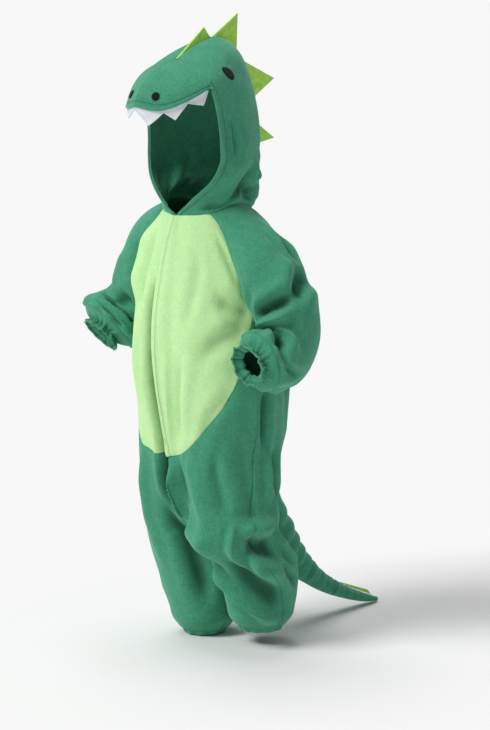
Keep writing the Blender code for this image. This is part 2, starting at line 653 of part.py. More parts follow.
def back_places():
    """Places of the back, from the leg hem to the neck, columns from the side seam to the middle."""
    raglan = along(RAGLAN_BACK, np.linspace(0, 1, BACK_RAGLAN_COLUMNS + 1))
    neck_t = np.linspace(BACK_NECK_CORNER_T, 1, BACK_NECK_COLUMNS + 1)[1:]
    neck = np.stack([neck_t, neck_z(neck_t)], axis=-1)
    top = np.concatenate([raglan, neck])
    left = side_places()
    right = middle_places(1.0, BACK_NECK_Z)
    share = np.linspace(0, 1, len(top))
    bottom = np.stack([left[0, 0] + share * (1 - left[0, 0]), np.full_like(share, INSEAM_Z[0])], axis=-1)
    return patch(bottom, top, left, right)


def clear_of_middle(points, side):
    """Points kept half a seam gap on their own side of the middle."""
    points = points.copy()
    points[..., 0] = side * np.maximum(side * points[..., 0], SEAM_GAP / 2)
    return points


def make_body_panel(name, side, places, edges, colour):
    grid = body_point(side * places[..., 0], places[..., 1])
    grid = clear_of_middle(drawn_back(grid, edges, 2 * SEAM_GAP), side)
    normals = body_normal(side * places[..., 0], places[..., 1])
    inner = clear_of_middle(grid - FLEECE * normals, side)
    return add_wall(name, grid, inner, colour)


def make_belly_left():
    """The left belly panel, whose front edge laps over the right panel as the placket."""
    places = belly_places(1)
    lap = places[:, 1:2] * (-1, 1)
    grid = drawn_back(body_point(*np.moveaxis(places, -1, 0)), ("bottom", "top", "right"), 1.5 * SEAM_GAP)
    lap_grid = drawn_back(body_point(*np.moveaxis(lap, -1, 0)), ("bottom", "top"))
    grid = np.concatenate([lap_grid, grid], axis=1)
    lapped = np.concatenate([lap, places], axis=1)
    normals = body_normal(lapped[..., 0], lapped[..., 1])
    lift = np.zeros(grid.shape[:2] + (1,))
    lift[:, :2] = FLEECE + 2.4 * SEAM_GAP
    outer = grid + lift * normals
    return add_wall("belly_left", outer, outer - FLEECE * normals, "belly")


def make_body():
    make_belly_left()
    make_body_panel("belly_right", -1, belly_places(-1), ("bottom", "top", "left", "right"), "belly")
    for side, word in ((1, "left"), (-1, "right")):
        edges = ("bottom", "top", "left", "right")
        make_body_panel(f"front_leg_{word}", side, front_leg_places(side), edges, "fleece")
        make_body_panel(f"back_{word}", side, back_places(), edges, "fleece")


def make_sleeves():
    turns = np.arange(SLEEVE_COLUMNS) / SLEEVE_COLUMNS
    cuff_turns = np.arange(CUFF_COLUMNS) / CUFF_COLUMNS
    for side, word in ((1, "left"), (-1, "right")):
        rows = np.linspace(0, CUFF_START, SLEEVE_ROWS + 1)
        grid = drawn_back(sleeve_grid(side, rows, turns), ("bottom", "top"), 1.6 * SEAM_GAP)
        normals = sleeve_normals(side, rows, turns)
        normals[0] = body_normal(*raglan_loop(side).T)
        add_wall(f"sleeve_{word}", grid, grid - FLEECE * normals, "fleece", closed=True)
        rows = np.linspace(CUFF_START, SLEEVE_END, CUFF_ROWS + 1)
        grid = drawn_back(sleeve_grid(side, rows, cuff_turns, CUFF_WAVES), ("bottom",))
        normals = sleeve_normals(side, rows, cuff_turns, CUFF_WAVES)
        add_wall(f"cuff_{word}", grid, grid - FLEECE * normals, "fleece", closed=True)


def make_leg_hems():
    """The gathered casing at each ankle, under the leg's turned edge."""
    turns = np.arange(LEG_HEM["columns"]) / LEG_HEM["columns"]
    wave = 0.0013 * np.cos(2 * math.pi * LEG_HEM["waves"] * turns + 1.1 * np.sin(2 * math.pi * turns))
    foot = {name: BODY[name][0] for name in BODY}
    angle = 2 * math.pi * turns
    heights = np.linspace(LEG_HEM["bottom"], LEG_HEM["top"], LEG_HEM["rows"] + 1)
    for side, word in ((1, "left"), (-1, "right")):
        grid = []
        for z in heights:
            shift = (0, *stride(side, foot["z"]))
            spread = -0.0035 * (LEG_HEM["top"] - z) / (LEG_HEM["top"] - LEG_HEM["bottom"]) - 0.0006 + wave
            x = foot["centre_x"] + (foot["half_width"] + spread) * np.sin(angle)
            y = foot["centre_y"] - (foot["front"] + spread) * np.cos(angle)
            grid.append(np.stack([side * x, y, np.full_like(x, z)], axis=-1) + shift)
        grid = np.array(grid)
        normals = outward_normals(grid, grid.mean(axis=1, keepdims=True), closed=True)
        add_wall(f"leg_hem_{word}", grid, grid - FLEECE * normals, "fleece", closed=True)


def make_hood():
    m = np.linspace(0, 1, HOOD_ROWS + 1)[:, None]
    c = np.linspace(0, 1, HOOD_COLUMNS + 1)[None, :]
    for side, word in ((1, "left"), (-1, "right")):
        grid = clear_of_middle(drawn_back(hood_point(side, m, c), ("bottom", "top", "left")), side)
        normals = hood_normals(side, m, c)
        add_wall(f"hood_{word}", grid, clear_of_middle(grid - FLEECE * normals, side), "fleece")
        near = normals[:-1, -HOOD_HEM_COLUMNS - 1:]
        hem = drawn_back(grid[:-1, -HOOD_HEM_COLUMNS - 1:], ("right",), 8 * SEAM_GAP)
        outer = clear_of_middle(hem - (FLEECE + 2 * SEAM_GAP) * near, side)
        inner = clear_of_middle(hem - (FLEECE + 2 * SEAM_GAP + HEM_CLOTH) * near, side)
        add_wall(f"hood_hem_{word}", outer, inner, "fleece")


def make_snout():
    p = np.linspace(0, 1, SNOUT_ROWS + 1)[:, None]
    q = np.linspace(0, 1, HOOD_COLUMNS + 1)[None, :]
    for side, word in ((1, "left"), (-1, "right")):
        grid = clear_of_middle(drawn_back(snout_point(side, p, q), ("bottom", "left")), side)
        normals = outward_normals(grid, SNOUT_INSIDE)
        normals[0] = hood_normals(side, 0.0, q[0])
        inner = clear_of_middle(grid - FLEECE * normals, side)
        add_wall(f"snout_{word}", grid, inner, "fleece")


def zigzag(side):
    """Shares of the brim's edge, and how far the teeth hang below it at each."""
    drops = TEETH["drop"].copy()
    if side < 0:
        drops[0] = RIGHT_FIRST_DROP
    shares = [0.0]
    hangs = [TOOTH_VALLEY]
    for start, point, end, drop in zip(TEETH["start"], TEETH["point"], TEETH["end"], drops):
        shares += [(start + point) / 2, point, (point + end) / 2, end]
        hangs += [(TOOTH_VALLEY + drop) / 2, drop, (TOOTH_VALLEY + drop) / 2, TOOTH_VALLEY]
    return np.array(shares), np.array(hangs)


def make_teeth():
    for side, word in ((1, "left"), (-1, "right")):
        shares, drops = zigzag(side)
        near = snout_point(side, np.array((0.94, 1.0))[:, None], shares[None, :])
        normals = outward_normals(near, SNOUT_INSIDE)[1]
        edge = near[1] - normals * (FLEECE + 2 * SEAM_GAP)
        down = near[1] - near[0]
        down /= np.linalg.norm(down, axis=-1, keepdims=True)
        lean = down * 0.5 + np.array((0, 0, -0.5))
        grid = np.stack([edge - down * TOOTH_ROOT, edge, edge + lean * drops[:, None]])
        outer = clear_of_middle(grid, side)
        inner = clear_of_middle(grid - FELT * normals, side)
        add_wall(f"teeth_{word}", outer, inner, "felt_white")


def make_spike(name, base, tip):
    """A felt triangle in the plane x = 0, on the points base of a seam."""
    heights = np.array((0.0, 0.35, 0.7, 0.97))
    rows = np.array([base + (tip - base) * h for h in heights])
    thick = SPIKE_ROOT + (SPIKE_TIP - SPIKE_ROOT) * heights[:, None]
    thick = np.broadcast_to(thick, rows.shape[:2])
    left = np.concatenate([thick[..., None], rows], axis=-1)
    return add_wall(name, left, left * (-1, 1, 1), "felt_lime")


def make_spikes():
    spikes = zip(*SPIKES.values())
    for number, (m1, m2, tip_y, tip_z) in enumerate(spikes, 1):
        m = np.linspace(m1, m2, 5)
        seam = hood_point(1, m, 0.0)[:, 1:]
        slope = hood_point(1, m + 0.01, 0.0)[:, 1:] - hood_point(1, m - 0.01, 0.0)[:, 1:]
        slope /= np.linalg.norm(slope, axis=-1, keepdims=True)
        out = np.stack([-slope[:, 1], slope[:, 0]], axis=-1)
        make_spike(f"spike_{number}", seam + out * 1.5 * SEAM_GAP, np.array((tip_y, tip_z)))
    s = np.linspace(TAIL_SPIKE["from"], TAIL_SPIKE["to"], 5)
    base = tail_point(s, 0.0)[:, 1:] + (0.3 * SEAM_GAP, 1.6 * SEAM_GAP)
    make_spike("tail_spike", base, np.array(TAIL_SPIKE["tip"]))


def make_disc(name, surface, at, half_long, half_short, slant, side):
    """An oval of felt lying on a surface, its axes in the surface's tangent plane."""
    step = 0.01
    centre = surface(side, *at)
    along_m = (surface(side, at[0] + step, at[1]) - centre) / step
    along_c = (surface(side, at[0], at[1] + step) - centre) / step
    normal = np.cross(along_m, along_c)
    normal /= np.linalg.norm(normal)
    ease = 1.0 if np.dot(normal, centre - (0, -0.03, 0.74)) > 0 else -1.0
    normal *= ease
    right = np.cross((0, 0, 1.0), normal)
    right /= np.linalg.norm(right)
    upright = np.cross(normal, right)
    basis = np.stack([along_m, along_c, normal], axis=1)
    lean = math.radians(slant) * side
    long_axis = math.sin(lean) * right * -1 + math.cos(lean) * upright
    short_axis = np.cross(normal, long_axis)
    angle = np.arange(20) * 2 * math.pi / 20
    rings = [centre[None]]
    for share in (0.55, 1.0):
        flat = np.outer(np.cos(angle) * half_long * share, long_axis)
        flat = flat + np.outer(np.sin(angle) * half_short * share, short_axis)
        local = np.linalg.solve(basis, flat.T).T
        rings.append(surface(side, at[0] + local[:, 0], at[1] + local[:, 1]))
    points = np.concatenate(rings)
    low = points + normal * 1.5 * SEAM_GAP
    high = low + normal * FELT
    count = len(points)
    faces = []
    for j in range(20):
        k = (j + 1) % 20
        faces.append((0, 1 + j, 1 + k))
        faces.append((1 + j, 21 + j, 21 + k, 1 + k))
        faces.append((count, count + 1 + k, count + 1 + j))
        faces.append((count + 1 + j, count + 1 + k, count + 21 + k, count + 21 + j))
        faces.append((21 + j, count + 21 + j, count + 21 + k, 21 + k))
    add_solid(name, np.concatenate([high, low]), faces, "felt_black")


def make_face():
    for side, word in ((1, "left"), (-1, "right")):
        make_disc(f"eye_{word}", hood_point, side=side, **EYE)
        make_disc(f"nostril_{word}", snout_point, side=side, **NOSTRIL)


def make_tail():
    s = np.linspace(0, len(TAIL["y"]) - 1, TAIL_ROWS + 1)[:, None]
    turn = np.linspace(0, 0.5, TAIL_COLUMNS + 1)[None, :]
    for side, word in ((1, "left"), (-1, "right")):
        grid = tail_point(s, turn)
        inner = tail_point(s, turn)
        centre = (grid[:, :1] + grid[:, -1:]) / 2
        radius = np.linalg.norm(grid - centre, axis=-1, keepdims=True)
        inner = grid + (centre - grid) * np.minimum(FLEECE / radius, 0.6)
        for points, smaller in ((grid, 0.0), (inner, FLEECE)):
            points[0, :, 0] = (TAIL_BASE["wide"] - smaller) * np.sin(2 * math.pi * turn)
            points[0, :, 2] = TAIL_BASE["z"] + (TAIL_BASE["tall"] - smaller) * np.cos(2 * math.pi * turn)
            clearance = SEAM_GAP * (2 + 5 * np.linspace(0, 1, points.shape[1]))
            points[0, :, 1] = seat_y(side, points[0, :, 0], points[0, :, 2]) + clearance
        grid = clear_of_middle(grid, 1) * (side, 1, 1)
        inner = clear_of_middle(inner, 1) * (side, 1, 1)
        add_wall(f"tail_{word}", grid, inner, "fleece")


def clear_scene():
    for made in list(bpy.data.objects):
        bpy.data.objects.remove(made, do_unlink=True)


def main():
    clear_scene()
    make_body()
    make_sleeves()
    make_leg_hems()
    make_hood()
    make_snout()
    make_teeth()
    make_spikes()
    make_face()
    make_tail()


main()
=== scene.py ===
"""Looks of a small hooded dinosaur costume: fleece panels with folds, gathers, seams and stitching, felt
teeth, spikes and eyes, and the stage. Metres, +Z up; the front faces -Y and the costume's own left is +X.
Heights in the tables below are above the floor. The origin is SHOULDER_HEIGHT above it."""

import math

import bpy
import numpy as np
from bpy.props import FloatProperty, FloatVectorProperty, PointerProperty
from bpy.types import Operator, Panel, PropertyGroup
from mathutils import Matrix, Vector


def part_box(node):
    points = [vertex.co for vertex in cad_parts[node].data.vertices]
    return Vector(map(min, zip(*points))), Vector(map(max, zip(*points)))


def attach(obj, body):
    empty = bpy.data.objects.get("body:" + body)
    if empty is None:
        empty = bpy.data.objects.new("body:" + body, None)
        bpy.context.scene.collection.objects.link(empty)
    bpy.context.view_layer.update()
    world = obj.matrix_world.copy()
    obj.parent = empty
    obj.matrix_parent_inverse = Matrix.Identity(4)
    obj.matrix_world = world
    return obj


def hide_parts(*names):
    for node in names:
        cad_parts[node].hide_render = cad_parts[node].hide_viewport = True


bl_info = {
    "name": "Dinosaur Costume",
    "version": (1, 0, 0),
    "blender": (4, 5, 0),
    "location": "View3D > Sidebar > Costume",
    "description": "Dresses the costume's solids in fleece and felt, with folds, gathers and stitching",
    "category": "Add Mesh",
}

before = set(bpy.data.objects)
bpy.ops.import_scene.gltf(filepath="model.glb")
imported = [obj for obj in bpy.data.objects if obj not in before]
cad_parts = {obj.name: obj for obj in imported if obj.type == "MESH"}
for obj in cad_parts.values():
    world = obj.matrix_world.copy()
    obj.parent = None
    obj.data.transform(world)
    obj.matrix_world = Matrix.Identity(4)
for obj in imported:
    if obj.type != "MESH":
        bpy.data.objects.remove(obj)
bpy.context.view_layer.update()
FLOOR = min(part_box(name)[0].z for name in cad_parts)

SHOULDER_HEIGHT = 0.600
FLEECE = 0.0018
FELT = 0.0016
HEM_CLOTH = 0.0014
SEAM_GAP = 0.0003
QUARTER = math.pi / 2

# Columns and rows of the cloth. DETAIL is how many times finer they are than the solids' own.
DETAIL = 6
BELLY_COLUMNS = 7 * DETAIL
EDGE_ROWS = 3 * DETAIL
RAGLAN_ROWS = 8 * DETAIL
STRIP_COLUMNS = 2 * DETAIL
BACK_RAGLAN_COLUMNS = RAGLAN_ROWS + STRIP_COLUMNS
SHOULDER_COLUMNS = 4 * DETAIL
BACK_NECK_COLUMNS = 3 * DETAIL
SLEEVE_COLUMNS = 2 * BACK_RAGLAN_COLUMNS + SHOULDER_COLUMNS
HOOD_COLUMNS = BACK_NECK_COLUMNS + SHOULDER_COLUMNS + BELLY_COLUMNS
SIDE_ROWS = 20 * DETAIL
INSEAM_ROWS = 8 * DETAIL


def table(columns, *rows):
    """A short table as one array for each named column."""
    return dict(zip(columns, np.array(rows, float).T))


# Horizontal sections of one half of the body and its leg. Above the crotch, centre_x is less than
# half_width and the section is cut at the middle; fill evens out the cleft that this leaves.
BODY = table(
    ("z", "centre_x", "centre_y", "half_width", "front", "back", "fill", "side_seam"),
    (0.014, 0.0480, 0.041, 0.034, 0.036, 0.036, 0.00, 0.500),
    (0.026, 0.0480, 0.041, 0.0425, 0.045, 0.045, 0.00, 0.500),
    (0.045, 0.0485, 0.041, 0.046, 0.050, 0.050, 0.00, 0.495),
    (0.070, 0.0505, 0.039, 0.049, 0.055, 0.055, 0.00, 0.485),
    (0.100, 0.0535, 0.034, 0.0525, 0.060, 0.060, 0.00, 0.465),
    (0.130, 0.0560, 0.026, 0.0550, 0.064, 0.061, 0.00, 0.445),
    (0.158, 0.0562, 0.018, 0.0560, 0.067, 0.061, 0.00, 0.432),
    (0.180, 0.0530, 0.012, 0.0565, 0.070, 0.062, 0.35, 0.430),
    (0.205, 0.0480, 0.008, 0.0565, 0.074, 0.065, 0.60, 0.435),
    (0.240, 0.0420, 0.002, 0.0600, 0.078, 0.076, 0.75, 0.445),
    (0.281, 0.0380, -0.003, 0.0640, 0.080, 0.088, 0.78, 0.455),
    (0.330, 0.0280, -0.001, 0.0770, 0.088, 0.093, 0.90, 0.463),
    (0.375, 0.0180, 0.002, 0.0890, 0.096, 0.097, 1.00, 0.468),
    (0.440, 0.0080, 0.003, 0.0980, 0.099, 0.095, 1.00, 0.485),
    (0.495, 0.0030, 0.003, 0.1005, 0.093, 0.089, 1.00, 0.500),
    (0.540, 0.0000, 0.001, 0.0980, 0.083, 0.083, 1.00, 0.500),
    (0.575, 0.0000, -0.005, 0.0870, 0.070, 0.077, 1.00, 0.500),
    (0.600, 0.0000, -0.010, 0.0720, 0.0595, 0.069, 1.00, 0.500),
    (0.616, 0.0000, -0.013, 0.0630, 0.0535, 0.066, 1.00, 0.500),
    (0.640, 0.0000, -0.014, 0.0610, 0.0520, 0.066, 1.00, 0.500),
)

# The stride: how far each leg is moved back, the left one's knee forward and its hem behind, and how far
# the left leg's cloth is drawn up.
STRIDE = table(
    ("z", "left", "right", "rise"),
    (0.014, 0.006, -0.011, 0.018),
    (0.070, 0.004, -0.009, 0.012),
    (0.105, 0.000, -0.006, 0.006),
    (0.135, -0.010, -0.003, 0.003),
    (0.165, -0.012, 0.000, 0.000),
    (0.200, -0.005, 0.000, 0.000),
    (0.240, 0.000, 0.000, 0.000),
)

# Places on the body are (t, z): t runs from 0 at the middle of the front to 1 at the middle of the back.
NECK = table(("t", "z"), (0.0, 0.6095), (0.27, 0.615), (0.5, 0.626), (0.73, 0.617), (1.0, 0.618))
NECK_CORNER_T = 0.27
BACK_NECK_CORNER_T = 0.73
RAGLAN_FRONT = ((0.27, 0.615), (0.311, 0.600), (0.330, 0.562), (0.364, 0.523), (0.433, 0.478))
RAGLAN_STRIP = ((0.433, 0.478), (0.465, 0.471), (0.500, 0.470))
RAGLAN_BACK = ((0.500, 0.470), (0.570, 0.482), (0.635, 0.520), (0.680, 0.566), (0.710, 0.602), (0.73, 0.617))

# The belly's lower edge and side on the left, 1, and, where the cloth is pulled down, on the right, -1.
BELLY_BOTTOM = {
    1: ((0.0, 0.281), (0.080, 0.284), (0.163, 0.299), (0.249, 0.331), (0.3045, 0.354), (0.352, 0.383)),
    -1: ((0.0, 0.281), (0.080, 0.2815), (0.160, 0.284), (0.225, 0.2905), (0.262, 0.306), (0.285, 0.330)),
}
BELLY_EDGE = {
    1: ((0.352, 0.383), (0.395, 0.430), (0.433, 0.478)),
    -1: ((0.285, 0.330), (0.327, 0.390), (0.375, 0.440), (0.433, 0.478)),
}
INSEAM_Z = (0.014, 0.019, 0.028, 0.042, 0.060, 0.082, 0.106, 0.132, 0.158)
BACK_NECK_Z = 0.618
BELLY_BOTTOM_Z = 0.281

# Large folds of the body, each a trough or ridge along a line between two places. A minus t is on
# the right. Lengths are in metres, and depth is inward where it is negative.
BODY_FOLDS = table(
    ("t1", "z1", "t2", "z2", "width", "depth"),
    (0.06, 0.500, 0.04, 0.300, 0.020, -0.0030),
    (-0.10, 0.520, -0.07, 0.330, 0.022, 0.0030),
    (0.16, 0.460, 0.12, 0.340, 0.022, 0.0025),
    (-0.20, 0.430, -0.17, 0.260, 0.020, -0.0030),
    (0.20, 0.290, 0.24, 0.140, 0.024, 0.0050),
    (0.40, 0.300, 0.44, 0.190, 0.015, -0.0060),
    (0.52, 0.170, 0.60, 0.125, 0.016, -0.0080),
    (0.07, 0.172, 0.27, 0.156, 0.017, 0.0120),
    (0.62, 0.172, 0.84, 0.160, 0.020, -0.0080),
    (0.42, 0.135, 0.52, 0.090, 0.020, 0.0040),
    (0.12, 0.128, 0.30, 0.118, 0.014, -0.0050),
    (-0.22, 0.250, -0.26, 0.120, 0.022, 0.0040),
    (-0.38, 0.280, -0.42, 0.150, 0.016, -0.0045),
    (-0.56, 0.160, -0.64, 0.110, 0.016, -0.0060),
    (0.62, 0.420, 0.70, 0.280, 0.022, -0.0040),
    (-0.64, 0.440, -0.72, 0.300, 0.022, -0.0040),
    (-0.27, 0.590, -0.255, 0.500, 0.050, 0.0150),
    (-0.255, 0.520, -0.25, 0.370, 0.055, 0.0075),
    (-0.31, 0.260, -0.36, 0.040, 0.050, 0.0055),
    (0.70, 0.285, 0.70, 0.185, 0.045, -0.0120),
    (-0.70, 0.285, -0.70, 0.185, 0.045, -0.0100),
    (0.82, 0.520, 0.84, 0.360, 0.024, 0.0030),
    (-0.84, 0.500, -0.82, 0.360, 0.024, 0.0030),
)
HALF_GIRTH = 0.33

# Rings of a left sleeve after its raglan seam. out_tilt is how far the outward half-width points up, and
# front_turn how far the front half-width has turned from forward to upward, in degrees.
RING_COLUMNS = ("x", "y", "z", "out", "out_tilt", "front", "front_turn")
LEFT_SLEEVE = table(
    RING_COLUMNS,
    (0.1115, -0.001, 0.5320, 0.0580, 86.5, 0.048, 0),
    (0.1265, 0.000, 0.5140, 0.0481, 69, 0.046, 0),
    (0.1386, 0.004, 0.4936, 0.0445, 52, 0.047, 0),
    (0.1460, 0.005, 0.4734, 0.0417, 37, 0.046, 4),
    (0.1492, 0.004, 0.4520, 0.0390, 23, 0.046, 18),
    (0.1508, -0.006, 0.4372, 0.0380, 10, 0.046, 38),
    (0.1522, -0.024, 0.4280, 0.0390, 5, 0.046, 58),
    (0.1510, -0.043, 0.4260, 0.0410, 0, 0.046, 70),
    (0.1530, -0.058, 0.4260, 0.0390, 0, 0.043, 76),
    (0.1550, -0.067, 0.4260, 0.0290, 0, 0.031, 76),
    (0.1560, -0.072, 0.4260, 0.0200, 0, 0.020, 76),
    (0.1565, -0.078, 0.4255, 0.0250, 0, 0.026, 76),
    (0.1570, -0.084, 0.4245, 0.0285, 0, 0.0295, 76),
)
RIGHT_SLEEVE = table(
    RING_COLUMNS,
    (0.1135, 0.000, 0.5375, 0.0640, 84, 0.051, 0),
    (0.1291, 0.001, 0.5170, 0.0524, 67, 0.0505, 0),
    (0.1399, 0.0015, 0.4973, 0.0469, 54, 0.0463, 0),
    (0.1465, 0.000, 0.4800, 0.0430, 42, 0.044, 3),
    (0.1520, -0.006, 0.4650, 0.0425, 34, 0.045, 12),
    (0.1585, -0.016, 0.4540, 0.0450, 28, 0.048, 24),
    (0.1645, -0.027, 0.4460, 0.0475, 22, 0.050, 36),
    (0.1690, -0.036, 0.4400, 0.0460, 18, 0.048, 42),
    (0.1720, -0.041, 0.4360, 0.0395, 16, 0.041, 46),
    (0.1740, -0.044, 0.4325, 0.0290, 15, 0.029, 48),
    (0.1750, -0.046, 0.4300, 0.0195, 15, 0.0195, 48),
    (0.1755, -0.048, 0.4265, 0.0245, 15, 0.0245, 48),
    (0.1760, -0.051, 0.4230, 0.0275, 15, 0.0275, 48),
)
SLEEVE_START_ANGLE = math.radians(30)
CUFF_START = 9.0
SLEEVE_END = 13.0
CUFF_WAVES = 10
CUFF_COLUMNS = 40 * 7
CUFF_ROWS = 5 * DETAIL
SLEEVE_ROWS = 14 * DETAIL

# Stations of the hood's side panel from the brow over the crown to the neck: a point of the centre seam,
# the matching point of the face edge, and how far round the cross-section turns between them.
HOOD = table(
    ("m", "seam_y", "seam_z", "edge_x", "edge_y", "edge_z", "turn"),
    (0.00, -0.0670, 0.8205, 0.0705, -0.0670, 0.7852, 88),
    (0.10, -0.0350, 0.8375, 0.0715, -0.0640, 0.7750, 95),
    (0.22, 0.006, 0.8475, 0.0720, -0.0590, 0.7590, 101),
    (0.34, 0.036, 0.833, 0.0720, -0.0550, 0.742, 104),
    (0.46, 0.054, 0.802, 0.0725, -0.0530, 0.726, 108),
    (0.58, 0.064, 0.760, 0.0728, -0.0520, 0.706, 112),
    (0.70, 0.070, 0.713, 0.0720, -0.0530, 0.682, 116),
    (0.80, 0.071, 0.672, 0.0610, -0.0600, 0.656, 127),
    (0.88, 0.0655, 0.644, 0.0420, -0.0670, 0.637, 142),
    (0.94, 0.059, 0.628, 0.0240, -0.0690, 0.623, 158),
    (1.00, 0.053, 0.618, 0.0080, -0.0665, 0.612, 172),
)
HOOD_ROWS = 17 * DETAIL
HOOD_RIDGE = 0.80
NECK_BLEND_FROM = 0.72
HOOD_HEM_COLUMNS = 2

# The snout's brim edge from its tip to the joint with the hood, and how full its top is.
BRIM = table(
    ("q", "x", "y", "z"),
    (0.00, 0.000, -0.143, 0.7610),
    (0.34, 0.034, -0.126, 0.7560),
    (0.66, 0.056, -0.100, 0.7668),
    (1.00, 0.0705, -0.0675, 0.7850),
)
SNOUT_FULLNESS = 0.60
SNOUT_ROWS = 7 * DETAIL
SNOUT_INSIDE = (0.0, -0.070, 0.740)

# The zigzag along each half of the brim: where a tooth starts, points and ends, and how far it hangs. The
# tooth beside the middle is shorter on the right.
TEETH = table(
    ("start", "point", "end", "drop"),
    (0.00, 0.21, 0.385, 0.0205),
    (0.385, 0.555, 0.69, 0.0185),
    (0.69, 0.935, 0.965, 0.0200),
)
RIGHT_FIRST_DROP = 0.013
TOOTH_ROOT = 0.005
TOOTH_VALLEY = 0.001

# Felt triangles of the back: where they stand on the hood's centre seam, and the tip.
SPIKES = table(
    ("m1", "m2", "tip_y", "tip_z"),
    (0.004, 0.190, -0.0148, 0.8605),
    (0.200, 0.398, 0.0478, 0.8773),
    (0.406, 0.600, 0.1173, 0.7850),
    (0.640, 0.745, 0.1175, 0.7026),
)
SPIKE_ROOT = 0.0021
SPIKE_TIP = 0.0008

EYE = {"at": (0.208, 0.612), "half_long": 0.0112, "half_short": 0.0072, "slant": 40}
NOSTRIL = {"at": (0.775, 0.230), "half_long": 0.0060, "half_short": 0.0055, "slant": 0}

# Rings of the tail in the plane x = 0, from the seat to its tip on the floor.
TAIL = table(
    ("y", "z", "deep", "wide"),
    (0.080, 0.206, 0.0290, 0.034),
    (0.1040, 0.1760, 0.0250, 0.029),
    (0.1245, 0.1435, 0.0245, 0.026),
    (0.1465, 0.1110, 0.0220, 0.0235),
    (0.1685, 0.0870, 0.0190, 0.0205),
    (0.1920, 0.0685, 0.0155, 0.0175),
    (0.215, 0.0530, 0.0133, 0.0150),
    (0.238, 0.0405, 0.0115, 0.0130),
    (0.264, 0.0290, 0.0098, 0.0112),
    (0.291, 0.0190, 0.0080, 0.0092),
    (0.312, 0.0125, 0.0062, 0.0070),
    (0.329, 0.0080, 0.0035, 0.0035),
)
TAIL_BASE = {"z": 0.240, "tall": 0.033, "wide": 0.033}
TAIL_COLUMNS = 8 * 4
TAIL_ROWS = 24 * DETAIL
TAIL_SPIKE = {"from": 7.2, "to": 10.2, "tip": (0.310, 0.0255)}

# How softly a large fold's ends fade, the steps that normals are taken over, and how far they keep off the
# middle and the neck.
FOLD_FADE = (-0.25, 0.25)
PLACE_STEP = 0.004
MIDDLE_GUARD = 0.002
ROW_STEP = 0.02
TURN_STEP = 0.002
SHARE_STEP = 0.01
NECK_NORMAL_FROM = 0.9

# Waves round a gathered tube drift by this much, and the cuff's grow from its seam to this row.
DRIFT = 1.3
HEM_DRIFT = 1.1
CUFF_WAVE = {"least": 0.0011, "share": 0.02, "rows": 1.4}
UNEVEN = {"share": 0.25, "waves": 3}

# Side seam rows crowd towards the hem, and end at the underarm. The seat is searched between these places.
SIDE_CROWDING = 1.25
UNDERARM_PULL = 6
SEAT_T = (0.52, 0.999, 120)

LEG_HEM = {"columns": 36 * DETAIL, "rows": 6, "waves": 9, "top": 0.0135, "bottom": 0.006}


# Curves and surfaces


def spline(keys, values, at):
    """Smooth curve through values at keys, read at each number in at."""
    keys = np.asarray(keys, float)
    values = np.asarray(values, float)
    at = np.clip(np.asarray(at, float), keys[0], keys[-1])
    slopes = np.gradient(values, keys, axis=0)
    i = np.clip(np.searchsorted(keys, at, side="right") - 1, 0, len(keys) - 2)
    span = keys[i + 1] - keys[i]
    f = (at - keys[i]) / span
    more = (1,) * (values.ndim - 1)
    f = f.reshape(f.shape + more)
    span = span.reshape(span.shape + more)
    start = values[i] * (1 + 2 * f) * (1 - f) ** 2 + slopes[i] * span * f * (1 - f) ** 2
    end = values[i + 1] * f**2 * (3 - 2 * f) + slopes[i + 1] * span * f**2 * (f - 1)
    return start + end


def smooth(low, high, value):
    """0 below low, 1 above high, and an eased step between them."""
    f = np.clip((value - low) / (high - low), 0.0, 1.0)
    return f * f * (3 - 2 * f)


def along(points, fractions):
    """Points at fractions of the length of a smooth (t, z) line, t measured in metres of girth."""
    points = np.array(points, float)
    steps = np.diff(points, axis=0) * (HALF_GIRTH * 2, 1)
    lengths = np.concatenate([[0], np.cumsum(np.hypot(*steps.T))])
    return spline(lengths / lengths[-1], points, fractions)


def fold_height(t, z):
    """How far the large folds push the cloth out at each place of the body."""
    height = np.zeros(np.broadcast(t, z).shape)
    girth = 2 * HALF_GIRTH
    for t1, z1, t2, z2, width, depth in zip(*BODY_FOLDS.values()):
        run = np.array(((t2 - t1) * girth, z2 - z1))
        length = np.hypot(*run)
        ds = (t - t1) * girth
        dz = z - z1
        f = (ds * run[0] + dz * run[1]) / length**2
        across = (ds * run[1] - dz * run[0]) / length
        ends = smooth(*FOLD_FADE, f) * smooth(*FOLD_FADE, 1 - f)
        height += depth * ends * np.exp(-((across / width) ** 2))
    return height


def stride(side, z):
    """How far the stride moves a side's cloth back, and up, at height z."""
    back = np.where(side > 0, spline(STRIDE["z"], STRIDE["left"], z), spline(STRIDE["z"], STRIDE["right"], z))
    return back, np.where(side > 0, spline(STRIDE["z"], STRIDE["rise"], z), 0.0)


